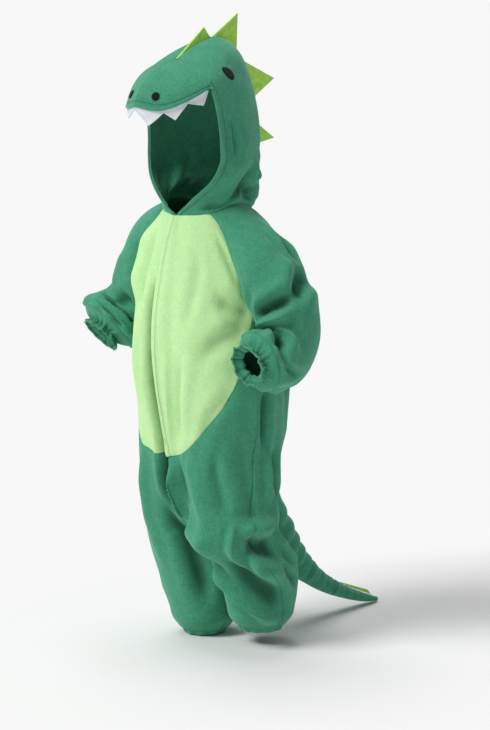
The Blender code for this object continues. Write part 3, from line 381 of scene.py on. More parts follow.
def body_point(t, z):
    """The body's outer surface at signed t and height z."""
    t, z = np.broadcast_arrays(np.asarray(t, float), np.asarray(z, float))
    row = {name: spline(BODY["z"], BODY[name], z) for name in BODY if name != "z"}
    side = np.where(np.signbit(t), -1.0, 1.0)
    part = np.abs(t)
    lean = np.clip(row["centre_x"] / row["half_width"], 0, 1)
    start = -np.arcsin(lean)
    reach = QUARTER - start
    angle = np.where(part < 0.5, start + reach * part / 0.5, QUARTER + reach * (part - 0.5) / 0.5)
    cosine = np.cos(angle)
    filled = np.sign(cosine) * (np.abs(cosine) + row["fill"] * (1 - np.abs(cosine)))
    cosine = np.where(np.sin(angle) < 0, filled, cosine)
    depth = np.where(cosine > 0, row["front"], row["back"])
    x = row["centre_x"] + row["half_width"] * np.sin(angle)
    y = row["centre_y"] - depth * cosine
    normal = np.stack([np.sin(angle) / row["half_width"], -cosine / depth])
    normal /= np.linalg.norm(normal, axis=0)
    height = fold_height(t, z)
    x = np.maximum(x + height * normal[0], 0.0)
    back, rise = stride(side, z)
    return np.stack([side * x, y + height * normal[1] + back, z + rise], axis=-1)


def body_normal(t, z):
    """Unit outward normals of the body's surface, taken within its own half."""
    t, z = np.broadcast_arrays(np.asarray(t, float), np.asarray(z, float))
    side = np.where(np.signbit(t), -1.0, 1.0)
    part = np.abs(t)
    before = side * np.clip(part - PLACE_STEP, MIDDLE_GUARD, 1 - MIDDLE_GUARD - PLACE_STEP)
    after = side * np.clip(part + PLACE_STEP, MIDDLE_GUARD + PLACE_STEP, 1 - MIDDLE_GUARD)
    across = (body_point(after, z) - body_point(before, z)) * side[..., None]
    upward = body_point(t, z + PLACE_STEP) - body_point(t, np.maximum(z - PLACE_STEP, BODY["z"][0]))
    normal = np.cross(across, upward)
    return normal / np.linalg.norm(normal, axis=-1, keepdims=True)


def neck_z(t):
    """Height of the neck seam at each place round it."""
    return spline(NECK["t"], NECK["z"], np.abs(t))


def raglan_loop(side):
    """(t, z) of a sleeve's first ring at each sleeve column, from the front neck corner down the front."""
    front = along(RAGLAN_FRONT, np.linspace(0, 1, RAGLAN_ROWS + 1))
    strip = along(RAGLAN_STRIP, np.linspace(0, 1, STRIP_COLUMNS + 1))
    back = along(RAGLAN_BACK, np.linspace(0, 1, BACK_RAGLAN_COLUMNS + 1))
    neck_t = np.linspace(BACK_NECK_CORNER_T, NECK_CORNER_T, SHOULDER_COLUMNS + 1)
    neck = np.stack([neck_t, neck_z(neck_t)], axis=-1)
    loop = np.concatenate([front[:-1], strip[:-1], back[:-1], neck[:-1]])
    return loop * (side, 1)


def sleeve_rings(side, turns):
    """The ring points of a sleeve at each turn, a share of the way round it."""
    rings = LEFT_SLEEVE if side > 0 else RIGHT_SLEEVE
    loop = raglan_loop(side)
    loop = np.concatenate([loop, loop[:1]])
    first = body_point(*spline(np.linspace(0, 1, SLEEVE_COLUMNS + 1), loop, turns).T)
    angle = SLEEVE_START_ANGLE + 2 * math.pi * turns
    points = [first]
    for x, y, z, out, tilt, front, turn in zip(*rings.values()):
        tilt = math.radians(tilt)
        turn = math.radians(turn)
        centre = np.array((side * x, y, z))
        outward = out * np.array((side * math.cos(tilt), 0, math.sin(tilt)))
        forward = front * np.array((0, -math.cos(turn), math.sin(turn)))
        points.append(centre + np.outer(np.cos(angle), outward) + np.outer(np.sin(angle), forward))
    return np.array(points)


def sleeve_grid(side, rows, turns, waves=0):
    """Sleeve points at each row, a ring number that may lie between rings, and each turn."""
    rings = sleeve_rings(side, turns)
    numbers = np.arange(len(rings))
    grid = spline(numbers, rings, rows)
    if waves:
        centre = grid.mean(axis=1, keepdims=True)
        outward = grid - centre
        radius = np.linalg.norm(outward, axis=2, keepdims=True)
        ease = smooth(CUFF_START, CUFF_START + CUFF_WAVE["rows"], rows)[:, None, None]
        wave = np.cos(2 * math.pi * waves * turns + DRIFT * np.sin(2 * math.pi * turns))[None, :, None]
        grid = grid + outward / radius * (CUFF_WAVE["least"] + CUFF_WAVE["share"] * radius) * wave * ease
    return grid


def sleeve_normals(side, rows, turns, waves=0):
    """Unit outward normals at the points of sleeve_grid, the body's along the raglan seam."""
    last = sleeve_grid(side, np.minimum(rows + ROW_STEP, SLEEVE_END), turns, waves)
    along_arm = last - sleeve_grid(side, np.maximum(rows - ROW_STEP, 0), turns, waves)
    around = sleeve_grid(side, rows, (turns + TURN_STEP) % 1, waves)
    around = around - sleeve_grid(side, rows, (turns - TURN_STEP) % 1, waves)
    normal = np.cross(around, along_arm) * side
    normal /= np.linalg.norm(normal, axis=-1, keepdims=True)
    grid = sleeve_grid(side, rows, turns, waves)
    away = np.sign(np.sum(normal * (grid - grid.mean(axis=1, keepdims=True))))
    return normal * away


def neck_share(c):
    """The body's t under each share c of the hood's neck seam, from the middle of the back."""
    ends = np.cumsum([0, BACK_NECK_COLUMNS, SHOULDER_COLUMNS, BELLY_COLUMNS]) / HOOD_COLUMNS
    return np.interp(c, ends, (1.0, BACK_NECK_CORNER_T, NECK_CORNER_T, 0.0))


def hood_form(m, c):
    """The left half of the hood before its lower edge is fitted to the neck."""
    row = {name: spline(HOOD["m"], HOOD[name], m) for name in HOOD if name != "m"}
    turn = np.radians(row["turn"])
    angle = c * turn
    share = ((1 - np.cos(angle)) / (1 - np.cos(turn))) ** HOOD_RIDGE
    x = row["edge_x"] * np.sin(angle) / np.sin(turn)
    y = row["seam_y"] + (row["edge_y"] - row["seam_y"]) * share
    z = row["seam_z"] + (row["edge_z"] - row["seam_z"]) * share
    return np.stack([x, y, z], axis=-1)


def hood_point(side, m, c):
    """The hood's outer surface at station m and share c of the way from the centre seam to the face."""
    m, c = np.broadcast_arrays(np.asarray(m, float), np.asarray(c, float))
    point = hood_form(m, c)
    t = neck_share(c)
    neck = body_point(t, neck_z(t))
    fit = smooth(NECK_BLEND_FROM, 1.0, m)[..., None]
    return (point + (neck - hood_form(np.ones_like(m), c)) * fit) * (side, 1, 1)


def hood_normals(side, m, c):
    """Unit outward normals of the hood, the neck's along its lower seam."""
    m, c = np.broadcast_arrays(np.asarray(m, float), np.asarray(c, float))
    step = SHARE_STEP
    along_m = hood_point(side, np.minimum(m + step, 1), c) - hood_point(side, np.maximum(m - step, 0), c)
    along_c = hood_point(side, m, np.minimum(c + step, 1)) - hood_point(side, m, np.maximum(c - step, 0))
    normal = np.cross(along_c, along_m) * side
    normal /= np.linalg.norm(normal, axis=-1, keepdims=True)
    t = neck_share(c)
    neck = body_normal(side * t, neck_z(t))
    fit = smooth(NECK_NORMAL_FROM, 1.0, m)[..., None]
    normal = normal * (1 - fit) + neck * fit
    return normal / np.linalg.norm(normal, axis=-1, keepdims=True)


def snout_point(side, p, q):
    """The snout's outer surface, p from the joint with the hood to the brim and q from the middle out."""
    p, q = np.broadcast_arrays(np.asarray(p, float), np.asarray(q, float))
    joint = hood_form(np.zeros_like(q), q)
    brim = np.stack([spline(BRIM["q"], BRIM[name], q) for name in "xyz"], axis=-1)
    out = np.sin(QUARTER * p)
    down = 1 - np.cos(QUARTER * p)
    out = (SNOUT_FULLNESS * out + (1 - SNOUT_FULLNESS) * p)[..., None]
    down = (SNOUT_FULLNESS * down + (1 - SNOUT_FULLNESS) * p)[..., None]
    run = brim - joint
    point = joint + run * np.concatenate([out, out, down], axis=-1)
    return point * (side, 1, 1)


def tail_point(s, turn):
    """The tail's outer surface at ring number s; turn runs from its top round its left."""
    s, turn = np.broadcast_arrays(np.asarray(s, float), np.asarray(turn, float))
    numbers = np.arange(len(TAIL["y"]))
    line = np.stack([TAIL["y"], TAIL["z"]], axis=-1)
    centre = spline(numbers, line, s)
    slope = spline(numbers, line, s + 0.05) - spline(numbers, line, s - 0.05)
    slope /= np.linalg.norm(slope, axis=-1, keepdims=True)
    deep = spline(numbers, TAIL["deep"], s)
    wide = spline(numbers, TAIL["wide"], s)
    angle = 2 * math.pi * turn
    up = deep * np.cos(angle)
    x = wide * np.sin(angle)
    y = centre[..., 0] - up * slope[..., 1]
    z = centre[..., 1] + up * slope[..., 0]
    return np.stack([x, y, z], axis=-1)


def seat_y(side, x, z):
    """How far back the body's outer surface is at x and height z, found along its section."""
    t = side * np.linspace(*SEAT_T)
    section = body_point(t[None, :], np.ravel(z)[:, None])
    found = [np.interp(at, side * s[::-1, 0], s[::-1, 1]) for at, s in zip(np.ravel(x), section)]
    return np.array(found).reshape(np.shape(z))


# Panels' places


def patch(bottom, top, left, right):
    """A grid of (t, z) places filling the space between four lines of places."""
    b = np.linspace(0, 1, len(left))[:, None, None]
    a = np.linspace(0, 1, len(bottom))[None, :, None]
    across = (1 - a) * left[:, None] + a * right[:, None]
    upward = (1 - b) * bottom[None, :] + b * top[None, :]
    low = (1 - a) * bottom[0] + a * bottom[-1]
    high = (1 - a) * top[0] + a * top[-1]
    return across + upward - ((1 - b) * low + b * high)


def drawn_back(grid, sides, gap=SEAM_GAP):
    """The grid with the named edges moved in by half a seam gap. Sides are of bottom, top, left, right."""
    grid = grid.copy()
    edges = {"bottom": ((0,), (1,)), "top": ((-1,), (-2,))}
    edges["left"] = ((slice(None), 0), (slice(None), 1))
    edges["right"] = ((slice(None), -1), (slice(None), -2))
    for name in sides:
        edge, inner = edges[name]
        step = grid[inner] - grid[edge]
        grid[edge] += step / np.linalg.norm(step, axis=-1, keepdims=True) * gap / 2
    return grid


def grid_normals(grid, closed=False):
    """Unit normals of a grid of points. A closed grid wraps round along its columns."""
    if closed:
        across = np.roll(grid, -1, axis=1) - np.roll(grid, 1, axis=1)
    else:
        across = np.gradient(grid, axis=1, edge_order=min(2, grid.shape[1] - 1))
    normal = np.cross(across, np.gradient(grid, axis=0, edge_order=min(2, len(grid) - 1)))
    return normal / np.linalg.norm(normal, axis=-1, keepdims=True)


def outward_normals(grid, inside, closed=False):
    """The grid's unit normals, turned away from the place inside."""
    normals = grid_normals(grid, closed)
    return normals * np.sign(np.sum(normals * (grid - inside)))


def belly_places(side):
    """Places of the belly panel's grid: rows up from its curved lower edge, columns out from the middle."""
    across = np.linspace(0, 1, BELLY_COLUMNS + 1)
    bottom = along(BELLY_BOTTOM[side], across)
    top_t = NECK_CORNER_T * across
    top = np.stack([top_t, neck_z(top_t)], axis=-1)
    edge = along(BELLY_EDGE[side], np.linspace(0, 1, EDGE_ROWS + 1))
    raglan = along(RAGLAN_FRONT, np.linspace(1, 0, RAGLAN_ROWS + 1))
    right = np.concatenate([edge, raglan[1:]])
    left_z = np.linspace(bottom[0, 1], top[0, 1], len(right))
    left = np.stack([np.zeros_like(left_z), left_z], axis=-1)
    return patch(bottom, top, left, right)


def side_places():
    """Places down the side seam, from the leg hem up to the underarm."""
    z = along(((0.0, INSEAM_Z[0]), (0.0, RAGLAN_STRIP[-1][1])), np.linspace(0, 1, SIDE_ROWS + 1))[:, 1]
    reach = z[-1] - INSEAM_Z[0]
    z = INSEAM_Z[0] + (z - INSEAM_Z[0]) ** SIDE_CROWDING * reach ** (1 - SIDE_CROWDING)
    t = spline(BODY["z"], BODY["side_seam"], z)
    t = t + (0.5 - t[-1]) * np.linspace(0, 1, len(t)) ** UNDERARM_PULL
    return np.stack([t, z], axis=-1)


def middle_places(t, top):
    """Places up the inner leg and on along the middle seam to the height top."""
    inner = np.interp(np.linspace(0, len(INSEAM_Z) - 1, INSEAM_ROWS + 1), np.arange(len(INSEAM_Z)), INSEAM_Z)
    z = np.concatenate([inner, np.linspace(INSEAM_Z[-1], top, SIDE_ROWS - INSEAM_ROWS + 1)[1:]])
    return np.stack([np.full_like(z, t), z], axis=-1)


def front_leg_places(side):
    """Places of the green front: the leg, and the strip beside the belly up to the underarm."""
    bottom_of_belly = along(BELLY_BOTTOM[side], np.linspace(0, 1, BELLY_COLUMNS + 1))
    edge = along(BELLY_EDGE[side], np.linspace(0, 1, EDGE_ROWS + 1))
    strip = along(RAGLAN_STRIP, np.linspace(0, 1, STRIP_COLUMNS + 1))
    top = np.concatenate([bottom_of_belly, edge[1:], strip[1:]])
    right = side_places()
    left = middle_places(0.0, BELLY_BOTTOM_Z)
    share = np.linspace(0, 1, len(top))
    bottom = np.stack([share * right[0, 0], np.full_like(share, INSEAM_Z[0])], axis=-1)
    return patch(bottom, top, left, right)


def back_places():
    """Places of the back, from the leg hem to the neck, columns from the side seam to the middle."""
    raglan = along(RAGLAN_BACK, np.linspace(0, 1, BACK_RAGLAN_COLUMNS + 1))
    neck_t = np.linspace(BACK_NECK_CORNER_T, 1, BACK_NECK_COLUMNS + 1)[1:]
    neck = np.stack([neck_t, neck_z(neck_t)], axis=-1)
    top = np.concatenate([raglan, neck])
    left = side_places()
    right = middle_places(1.0, BACK_NECK_Z)
    share = np.linspace(0, 1, len(top))
    bottom = np.stack([left[0, 0] + share * (1 - left[0, 0]), np.full_like(share, INSEAM_Z[0])], axis=-1)
    return patch(bottom, top, left, right)


def clear_of_middle(points, side):
    """Points kept half a seam gap on their own side of the middle."""
    points = points.copy()
    points[..., 0] = side * np.maximum(side * points[..., 0], SEAM_GAP / 2)
    return points


def zigzag(side):
    """Shares of the brim's edge, and how far the teeth hang below it at each."""
    drops = TEETH["drop"].copy()
    if side < 0:
        drops[0] = RIGHT_FIRST_DROP
    shares = [0.0]
    hangs = [TOOTH_VALLEY]
    for start, point, end, drop in zip(TEETH["start"], TEETH["point"], TEETH["end"], drops):
        shares += [(start + point) / 2, point, (point + end) / 2, end]
        hangs += [(TOOTH_VALLEY + drop) / 2, drop, (TOOTH_VALLEY + drop) / 2, TOOTH_VALLEY]
    return np.array(shares), np.array(hangs)


# Creases, listed one by one. u and v are the piece's own two directions, and width, depth and bow are in
# metres. Depth is inward where it is negative, and bow is how far the line's middle swings sideways.
CREASE_COLUMNS = ("u1", "v1", "u2", "v2", "width", "depth", "bow")
BODY_METRES = (0.66, 1.0)
BELLY_CREASES = table(
    CREASE_COLUMNS,
    (-0.074, 0.520, -0.052, 0.400, 0.0085, -0.0070, 0.002),
    (-0.060, 0.430, -0.026, 0.262, 0.0100, -0.0125, 0.002),
    (-0.120, 0.530, -0.096, 0.290, 0.0130, 0.0046, 0.004),
    (0.036, 0.440, 0.038, 0.270, 0.0130, 0.0036, 0.003),
    (0.432, 0.484, 0.250, 0.502, 0.0120, -0.0046, -0.006),
    (0.405, 0.462, 0.200, 0.424, 0.0140, -0.0036, 0.006),
    (0.348, 0.532, 0.270, 0.578, 0.0100, -0.0026, 0.004),
    (0.352, 0.380, 0.205, 0.312, 0.0130, -0.0026, 0.005),
    (0.112, 0.425, 0.086, 0.305, 0.0150, -0.0028, 0.004),
    (0.165, 0.560, 0.120, 0.465, 0.0160, -0.0020, -0.006),
    (-0.150, 0.585, -0.172, 0.480, 0.0120, -0.0022, 0.004),
    (-0.205, 0.450, -0.150, 0.325, 0.0100, -0.0026, 0.004),
)
LEG_CREASES = table(
    CREASE_COLUMNS,
    (-0.034, 0.300, -0.075, 0.205, 0.0140, -0.0090, 0.003),
    (0.004, 0.262, 0.004, 0.182, 0.0200, 0.0110, 0.002),
    (0.018, 0.285, 0.050, 0.165, 0.0120, 0.0030, 0.002),
    (0.075, 0.278, 0.115, 0.205, 0.0110, -0.0030, 0.003),
    (0.150, 0.285, 0.215, 0.205, 0.0170, 0.0026, 0.006),
    (0.285, 0.292, 0.335, 0.205, 0.0160, -0.0032, 0.008),
    (0.080, 0.146, 0.240, 0.118, 0.0120, -0.0045, 0.005),
    (0.150, 0.120, 0.460, 0.026, 0.0110, 0.0075, 0.006),
    (0.300, 0.128, 0.470, 0.062, 0.0190, -0.0125, 0.004),
    (0.366, 0.196, 0.346, 0.140, 0.0085, 0.0030, 0.006),
    (0.376, 0.190, 0.535, 0.190, 0.0090, 0.0056, 0.005),
    (0.402, 0.162, 0.515, 0.154, 0.0150, -0.0125, 0.002),
    (0.400, 0.160, 0.382, 0.118, 0.0110, -0.0050, 0.000),
    (0.545, 0.172, 0.640, 0.112, 0.0110, 0.0058, -0.006),
    (0.510, 0.120, 0.585, 0.085, 0.0140, -0.0052, 0.003),
    (0.492, 0.380, 0.510, 0.296, 0.0120, -0.0060, 0.003),
    (0.530, 0.300, 0.512, 0.215, 0.0100, 0.0040, -0.003),
    (0.560, 0.285, 0.615, 0.206, 0.0130, -0.0056, 0.004),
    (-0.230, 0.270, -0.275, 0.115, 0.0150, 0.0030, 0.006),
    (-0.130, 0.205, -0.100, 0.060, 0.0240, -0.0085, 0.004),
    (-0.420, 0.262, -0.470, 0.148, 0.0120, -0.0050, 0.005),
    (-0.520, 0.182, -0.625, 0.128, 0.0120, -0.0060, 0.004),
    (-0.555, 0.112, -0.645, 0.068, 0.0120, 0.0040, 0.004),
    (-0.355, 0.102, -0.482, 0.058, 0.0120, -0.0040, 0.003),
)
BACK_CREASES = table(
    CREASE_COLUMNS,
    (0.600, 0.474, 0.682, 0.356, 0.0100, -0.0046, 0.006),
    (-0.598, 0.470, -0.704, 0.348, 0.0105, -0.0050, 0.006),
    (0.758, 0.562, 0.842, 0.456, 0.0110, -0.0032, 0.006),
    (-0.740, 0.565, -0.862, 0.440, 0.0115, -0.0034, -0.006),
    (0.902, 0.425, 0.880, 0.305, 0.0100, -0.0042, 0.004),
    (-0.925, 0.436, -0.896, 0.298, 0.0105, -0.0040, 0.005),
    (0.655, 0.172, 0.802, 0.150, 0.0080, -0.0062, 0.005),
    (0.640, 0.130, 0.785, 0.098, 0.0080, 0.0042, 0.004),
    (-0.658, 0.184, -0.824, 0.158, 0.0085, -0.0062, 0.005),
    (-0.700, 0.118, -0.842, 0.084, 0.0085, -0.0044, -0.004),
)
SLEEVE_METRES = (0.27, 0.024)
LEFT_SLEEVE_CREASES = table(
    CREASE_COLUMNS,
    (0.225, 2.95, -0.020, 3.55, 0.0075, -0.0115, 0.004),
    (-0.025, 3.42, -0.205, 2.72, 0.0080, -0.0072, -0.003),
    (0.228, 3.60, 0.020, 4.35, 0.0080, 0.0056, 0.004),
    (0.112, 4.30, -0.045, 6.80, 0.0080, 0.0046, 0.006),
    (0.095, 5.60, -0.020, 8.30, 0.0090, -0.0090, 0.004),
    (-0.168, 0.60, -0.150, 2.25, 0.0070, -0.0046, 0.003),
    (-0.058, 0.70, -0.112, 2.35, 0.0050, -0.0026, 0.003),
    (-0.152, 2.30, -0.048, 3.85, 0.0080, -0.0044, 0.004),
    (0.150, 0.60, 0.192, 2.45, 0.0100, -0.0022, 0.004),
    (-0.060, 8.30, -0.182, 7.15, 0.0060, -0.0044, 0.003),
    (0.352, 2.00, 0.452, 4.60, 0.0080, -0.0052, 0.005),
    (0.548, 3.05, 0.652, 5.10, 0.0085, -0.0050, 0.004),
    (0.420, 5.10, 0.502, 7.65, 0.0070, -0.0044, -0.004),
    (0.700, 1.00, 0.764, 3.25, 0.0080, -0.0040, 0.004),
    (0.622, 5.65, 0.704, 7.85, 0.0070, -0.0042, 0.003),
    (0.300, 6.20, 0.332, 8.25, 0.0065, -0.0040, 0.003),
)
RIGHT_SLEEVE_CREASES = table(
    CREASE_COLUMNS,
    (0.085, 5.85, 0.205, 5.15, 0.0062, -0.0100, -0.002),
    (0.188, 5.14, 0.345, 5.75, 0.0062, -0.0100, -0.002),
    (0.105, 6.30, 0.335, 6.25, 0.0080, 0.0050, -0.004),
    (0.074, 4.25, 0.120, 1.60, 0.0080, 0.0026, 0.004),
    (0.196, 4.65, 0.262, 2.95, 0.0100, -0.0052, 0.003),
    (0.215, 7.20, 0.345, 8.30, 0.0060, -0.0044, 0.003),
    (0.420, 1.80, 0.520, 4.20, 0.0080, -0.0050, 0.005),
    (0.640, 2.60, 0.730, 5.20, 0.0085, -0.0052, 0.004),
    (0.480, 5.40, 0.560, 7.80, 0.0070, -0.0046, -0.004),
    (0.800, 0.90, 0.872, 3.10, 0.0080, -0.0036, 0.004),
    (0.840, 5.20, 0.925, 7.40, 0.0075, -0.0042, 0.003),
)
HOOD_METRES = (0.16, 0.27)
HOOD_CREASES = table(
    CREASE_COLUMNS,
    (0.585, 0.775, 0.325, 0.905, 0.0080, -0.0070, 0.004),
    (0.345, 0.888, 0.285, 0.965, 0.0070, -0.0060, 0.000),
    (0.500, 0.742, 0.300, 0.860, 0.0090, 0.0044, 0.002),
    (0.480, 0.715, 0.345, 0.815, 0.0070, -0.0052, 0.002),
    (0.765, 0.925, 0.400, 0.942, 0.0080, -0.0036, 0.004),
    (0.885, 0.420, 0.800, 0.705, 0.0110, -0.0036, 0.004),
    (0.118, 0.500, 0.205, 0.752, 0.0120, -0.0022, 0.004),
    (0.250, 0.552, 0.362, 0.742, 0.0100, -0.0026, -0.004),
    (0.420, 0.200, 0.560, 0.330, 0.0140, -0.0016, 0.004),
)
TAIL_METRES = (0.19, 0.030)
TAIL_CREASES = table(
    CREASE_COLUMNS,
    (0.010, 1.55, 0.330, 1.70, 0.0050, -0.0018, 0.002),
    (0.040, 2.25, 0.350, 2.35, 0.0045, -0.0016, -0.002),
    (0.000, 2.90, 0.320, 3.05, 0.0045, -0.0018, 0.002),
    (0.030, 3.60, 0.340, 3.65, 0.0040, -0.0014, 0.001),
    (0.000, 4.30, 0.420, 4.45, 0.0035, -0.0030, 0.001),
    (0.040, 5.10, 0.340, 5.20, 0.0035, -0.0013, -0.001),
    (0.050, 5.85, 0.340, 5.90, 0.0032, -0.0012, 0.001),
    (0.000, 6.60, 0.420, 6.75, 0.0030, -0.0024, 0.001),
    (0.050, 7.60, 0.330, 7.70, 0.0028, -0.0010, 0.001),
    (0.050, 8.70, 0.330, 8.75, 0.0025, -0.0008, 0.001),
)
# Where the placket's free edge lies on the right panel: t at each height.
LAP = table(
    ("z", "t"),
    (0.281, -0.010), (0.320, -0.022), (0.360, -0.034), (0.400, -0.042), (0.440, -0.050),
    (0.480, -0.056), (0.523, -0.056), (0.568, -0.054), (0.603, -0.046), (0.616, -0.042),
)

# Own materials carry this ending, because the frame's have the slots' plain names.
LOOK = "_look"

# Creases: how softly a line's ends fade, where the lips beside its trough lie, and how high they are.
CREASE_FADE = (-0.12, 0.28)
LIP = 0.32
LIP_AT = 2.1
LIP_WIDTH = 1.1
BODY_CREASES = (BELLY_CREASES, LEG_CREASES, BACK_CREASES)
RAGLAN_CLEAR = (0.002, 0.016)
EDGE_CLEAR = 0.02
RIGHT_HOOD_SHARE = 0.4

# Seams: the reach of the dip, and the faint puckers beside it, with the lengths of their waves.
SEAM_REACH = 0.0028
PUCKER = {"share": 0.22, "reach": 2.4, "swing": 0.35, "length": 0.0062, "drift": 0.031}
MASK_REACH = 0.006
SLEEVE_MASK_REACH = 0.004

# The placket: how the left panel's free edge lies over, rolls down to and presses on the right one.
LAP_LEAST = -0.002
LAP_LIFT = 0.0016
LAP_ROLL = 0.65
LAP_ROLL_REACH = (-0.0005, 0.0050)
LAP_FADE_T = 0.045
LAP_SMOOTH_T = (-0.050, 0.010)
LAP_BEAD = 0.0011
LAP_BEAD_WIDTH = 0.0030
LAP_TROUGH = 0.0024
LAP_TROUGH_AT = 0.0030

# Stitch rows: how far each lies from its edge, and the depth and width of the groove that it pulls.
STITCH_ROWS = {
    "placket": {"at": 0.0100, "depth": 0.0004, "width": 0.0016},
    "hood": {"at": 0.0085, "depth": 0.0007, "width": 0.0022},
    "brim": {"at": 0.0075, "depth": 0.0007, "width": 0.0020},
}
CUFF_STITCH = 0.0050
HOOD_HEM_RISE = 0.0006
HOOD_HEM_ROUND = 0.004
NECK_LAP = 0.0024

# Gathers round the cuffs, sleeves' ends and leg hems.
CUFF_GATHERS = 0.0030
CUFF_GATHER_ROWS = 2.4
CUFF_RIPPLE = 0.0009
CUFF_RIPPLE_ROWS = (0.2, 1.6)
HEM_RIPPLE = 0.0013
HEM_TUCK = 0.0026
HEM_TURN_IN = 0.0040

# Felt: the teeth's rows and curl, the spikes' rows and pillowed rims, and the rings of an oval patch as
# shares of its size and heights off the cloth.
TOOTH_NEAR = 0.94
TOOTH_ROWS = 8
TOOTH_CURL = 0.0010
SPIKE_COLUMNS = 17
SPIKE_ROWS = 13
SPIKE_POINT = 0.985
SPIKE_RIM = 0.45
SPIKE_RIM_RISE = 9
TAIL_SPIKE_OFF = (0.00009, 0.00018)
DISC_POINTS = 48
DISC_STEPS = 6
DISC_INSIDE = (0, -0.03, 0.74)
DISC_RINGS = ((1.0, 0.0002), (1.0, 0.0012), (0.95, 0.0018), (0.80, 0.0020), (0.50, 0.0020), (0.20, 0.0020))

# The tail: how softly its seams dip, and how its first ring stands off the seat and fades along it.
TAIL_DIP = 0.8
TAIL_OFF = 2
TAIL_OFF_BELOW = 5
TAIL_START_END = 0.85

# Layers of noise in the nap and in felt: scale, detail and roughness, the values that are spread over the
# whole range, and the layer's share of the shade and, in the nap, of the height. The nap's scales are
# shares of one tuft's.
NAP_LAYERS = {
    "tufts": {"scale": 1.0, "detail": 3.0, "rough": 0.60, "spread": (0.36, 0.64), "share": 0.62,
              "height": 0.55},
    "matting": {"scale": 0.24, "detail": 4.0, "rough": 0.62, "spread": (0.25, 0.75), "share": 0.38,
                "height": 0.80},
    "tone": {"scale": 0.035, "detail": 2.0, "rough": 0.55, "spread": (0.20, 0.80), "share": 0.25},
}
FIBRE = {"scale": 900.0, "detail": 3.0, "rough": 0.65, "spread": (0.42, 0.72), "share": 0.55}
MOTTLE = {"scale": 90.0, "detail": 3.0, "rough": 0.55, "spread": (0.30, 0.70), "share": 0.45}
FIBRE_STRETCHES = ((1.0, 0.28, 1.0), (1.0, 1.0, 0.28), (0.9, 0.6, 0.3))

# A row of stitches: the groove's and thread's edges off the line, the ends of a stitch as shares of half
# its pitch, and how high the thread stands and how deep the groove lies.
STITCH = {"groove": (0.0003, 0.0022), "thread": (0.00025, 0.00050), "ends": (0.30, 0.42), "high": 0.9,
          "deep": 1.6}

# Felt: how dark its mottle is as a share of its colour.
FELT_SHADES = {"felt_lime": 0.62, "felt_white": 0.84, "felt_black": 0.50}

# Finishes: constants of each cloth's shader, the sheen's tint with the painted shade of a stitched groove,
# and the strength and distance of the bump.
FLEECE_FINISH = {"Roughness": 0.92, "Specular IOR Level": 0.08, "Sheen Weight": 0.45, "Sheen Roughness": 0.50}
FELT_FINISH = {"Roughness": 0.95, "Specular IOR Level": 0.20, "Sheen Weight": 0.15, "Sheen Roughness": 0.50}
FLEECE_SHEEN_AND_GROOVE_SHADE = {
    "fleece_green": ((0.45, 0.85, 0.65), 0.35),
    "fleece_lime": ((0.80, 1.00, 0.60), 0.05),
}
FLEECE_BUMP = (0.60, 0.0014)
FELT_BUMP = (0.40, 0.0004)
THREAD_SHARE = 1.12
# Painted shade in creases and troughs: its colour as a share of the deep nap colour, and its strongest blend.
PAINTED_SHADE_SHARE = 0.40
PAINTED_SHADE_MOST = 0.72

# How far below the surface the painted shade darkens the cloth, from its own colour to its darkest.
PAINTED_SHADE_FROM = 0.0004
PAINTED_SHADE_TO = 0.0110
SMOOTH_ANGLE = math.radians(50)

# Suns: how far each stands toward the camera, aside and up, its share of the key strength, and its angle.
SUNS = {
    "key": {"toward": 0.50, "aside": -0.85, "up": 1.0, "share": 1.0, "angle": 24.0},
    "top": {"toward": -0.22, "aside": -0.15, "up": 1.0, "share": 0.53, "angle": 36.0},
}
FLOOR_SIZE = 60
FLOOR_BELOW = 0.0005
FLOOR_COLOUR = (0.86, 0.86, 0.86, 1)
SIDES = ((1, "left"), (-1, "right"))


class CostumeCloth(PropertyGroup):
    """Sizes and colours of the cloth."""

    fleece: FloatProperty(name="Fleece", description="Thickness of the fleece", default=FLEECE, unit="LENGTH")
    felt: FloatProperty(name="Felt", description="Thickness of the felt", default=FELT, unit="LENGTH")
    creases: FloatProperty(name="Creases", description="Share of the full depth of creases", default=1.5)
    seam_dip: FloatProperty(name="Seam dip", description="How deep a seam pulls in", default=0.0012,
                            unit="LENGTH")
    nap: FloatProperty(name="Nap", description="Size of a tuft of the fleece", default=0.0026, unit="LENGTH")
    green: FloatVectorProperty(name="Green", description="Main fleece", subtype="COLOR",
                               default=(0.076, 0.350, 0.212))
    green_deep: FloatVectorProperty(name="Deep green", description="Between the tufts of the main fleece",
                                    subtype="COLOR", default=(0.038, 0.225, 0.130))
    lime: FloatVectorProperty(name="Lime", description="Belly fleece", subtype="COLOR",
                              default=(0.590, 0.900, 0.450))
    lime_deep: FloatVectorProperty(name="Deep lime", description="Between the tufts of the belly fleece",
                                   subtype="COLOR", default=(0.460, 0.770, 0.330))
    spikes: FloatVectorProperty(name="Spikes", description="Felt of the spikes", subtype="COLOR",
                                default=(0.520, 0.940, 0.150))
    teeth: FloatVectorProperty(name="Teeth", description="Felt of the teeth", subtype="COLOR",
                               default=(0.800, 0.840, 0.900))
    black: FloatVectorProperty(name="Black", description="Felt of the eyes and nostrils", subtype="COLOR",
                               default=(0.006, 0.006, 0.008))


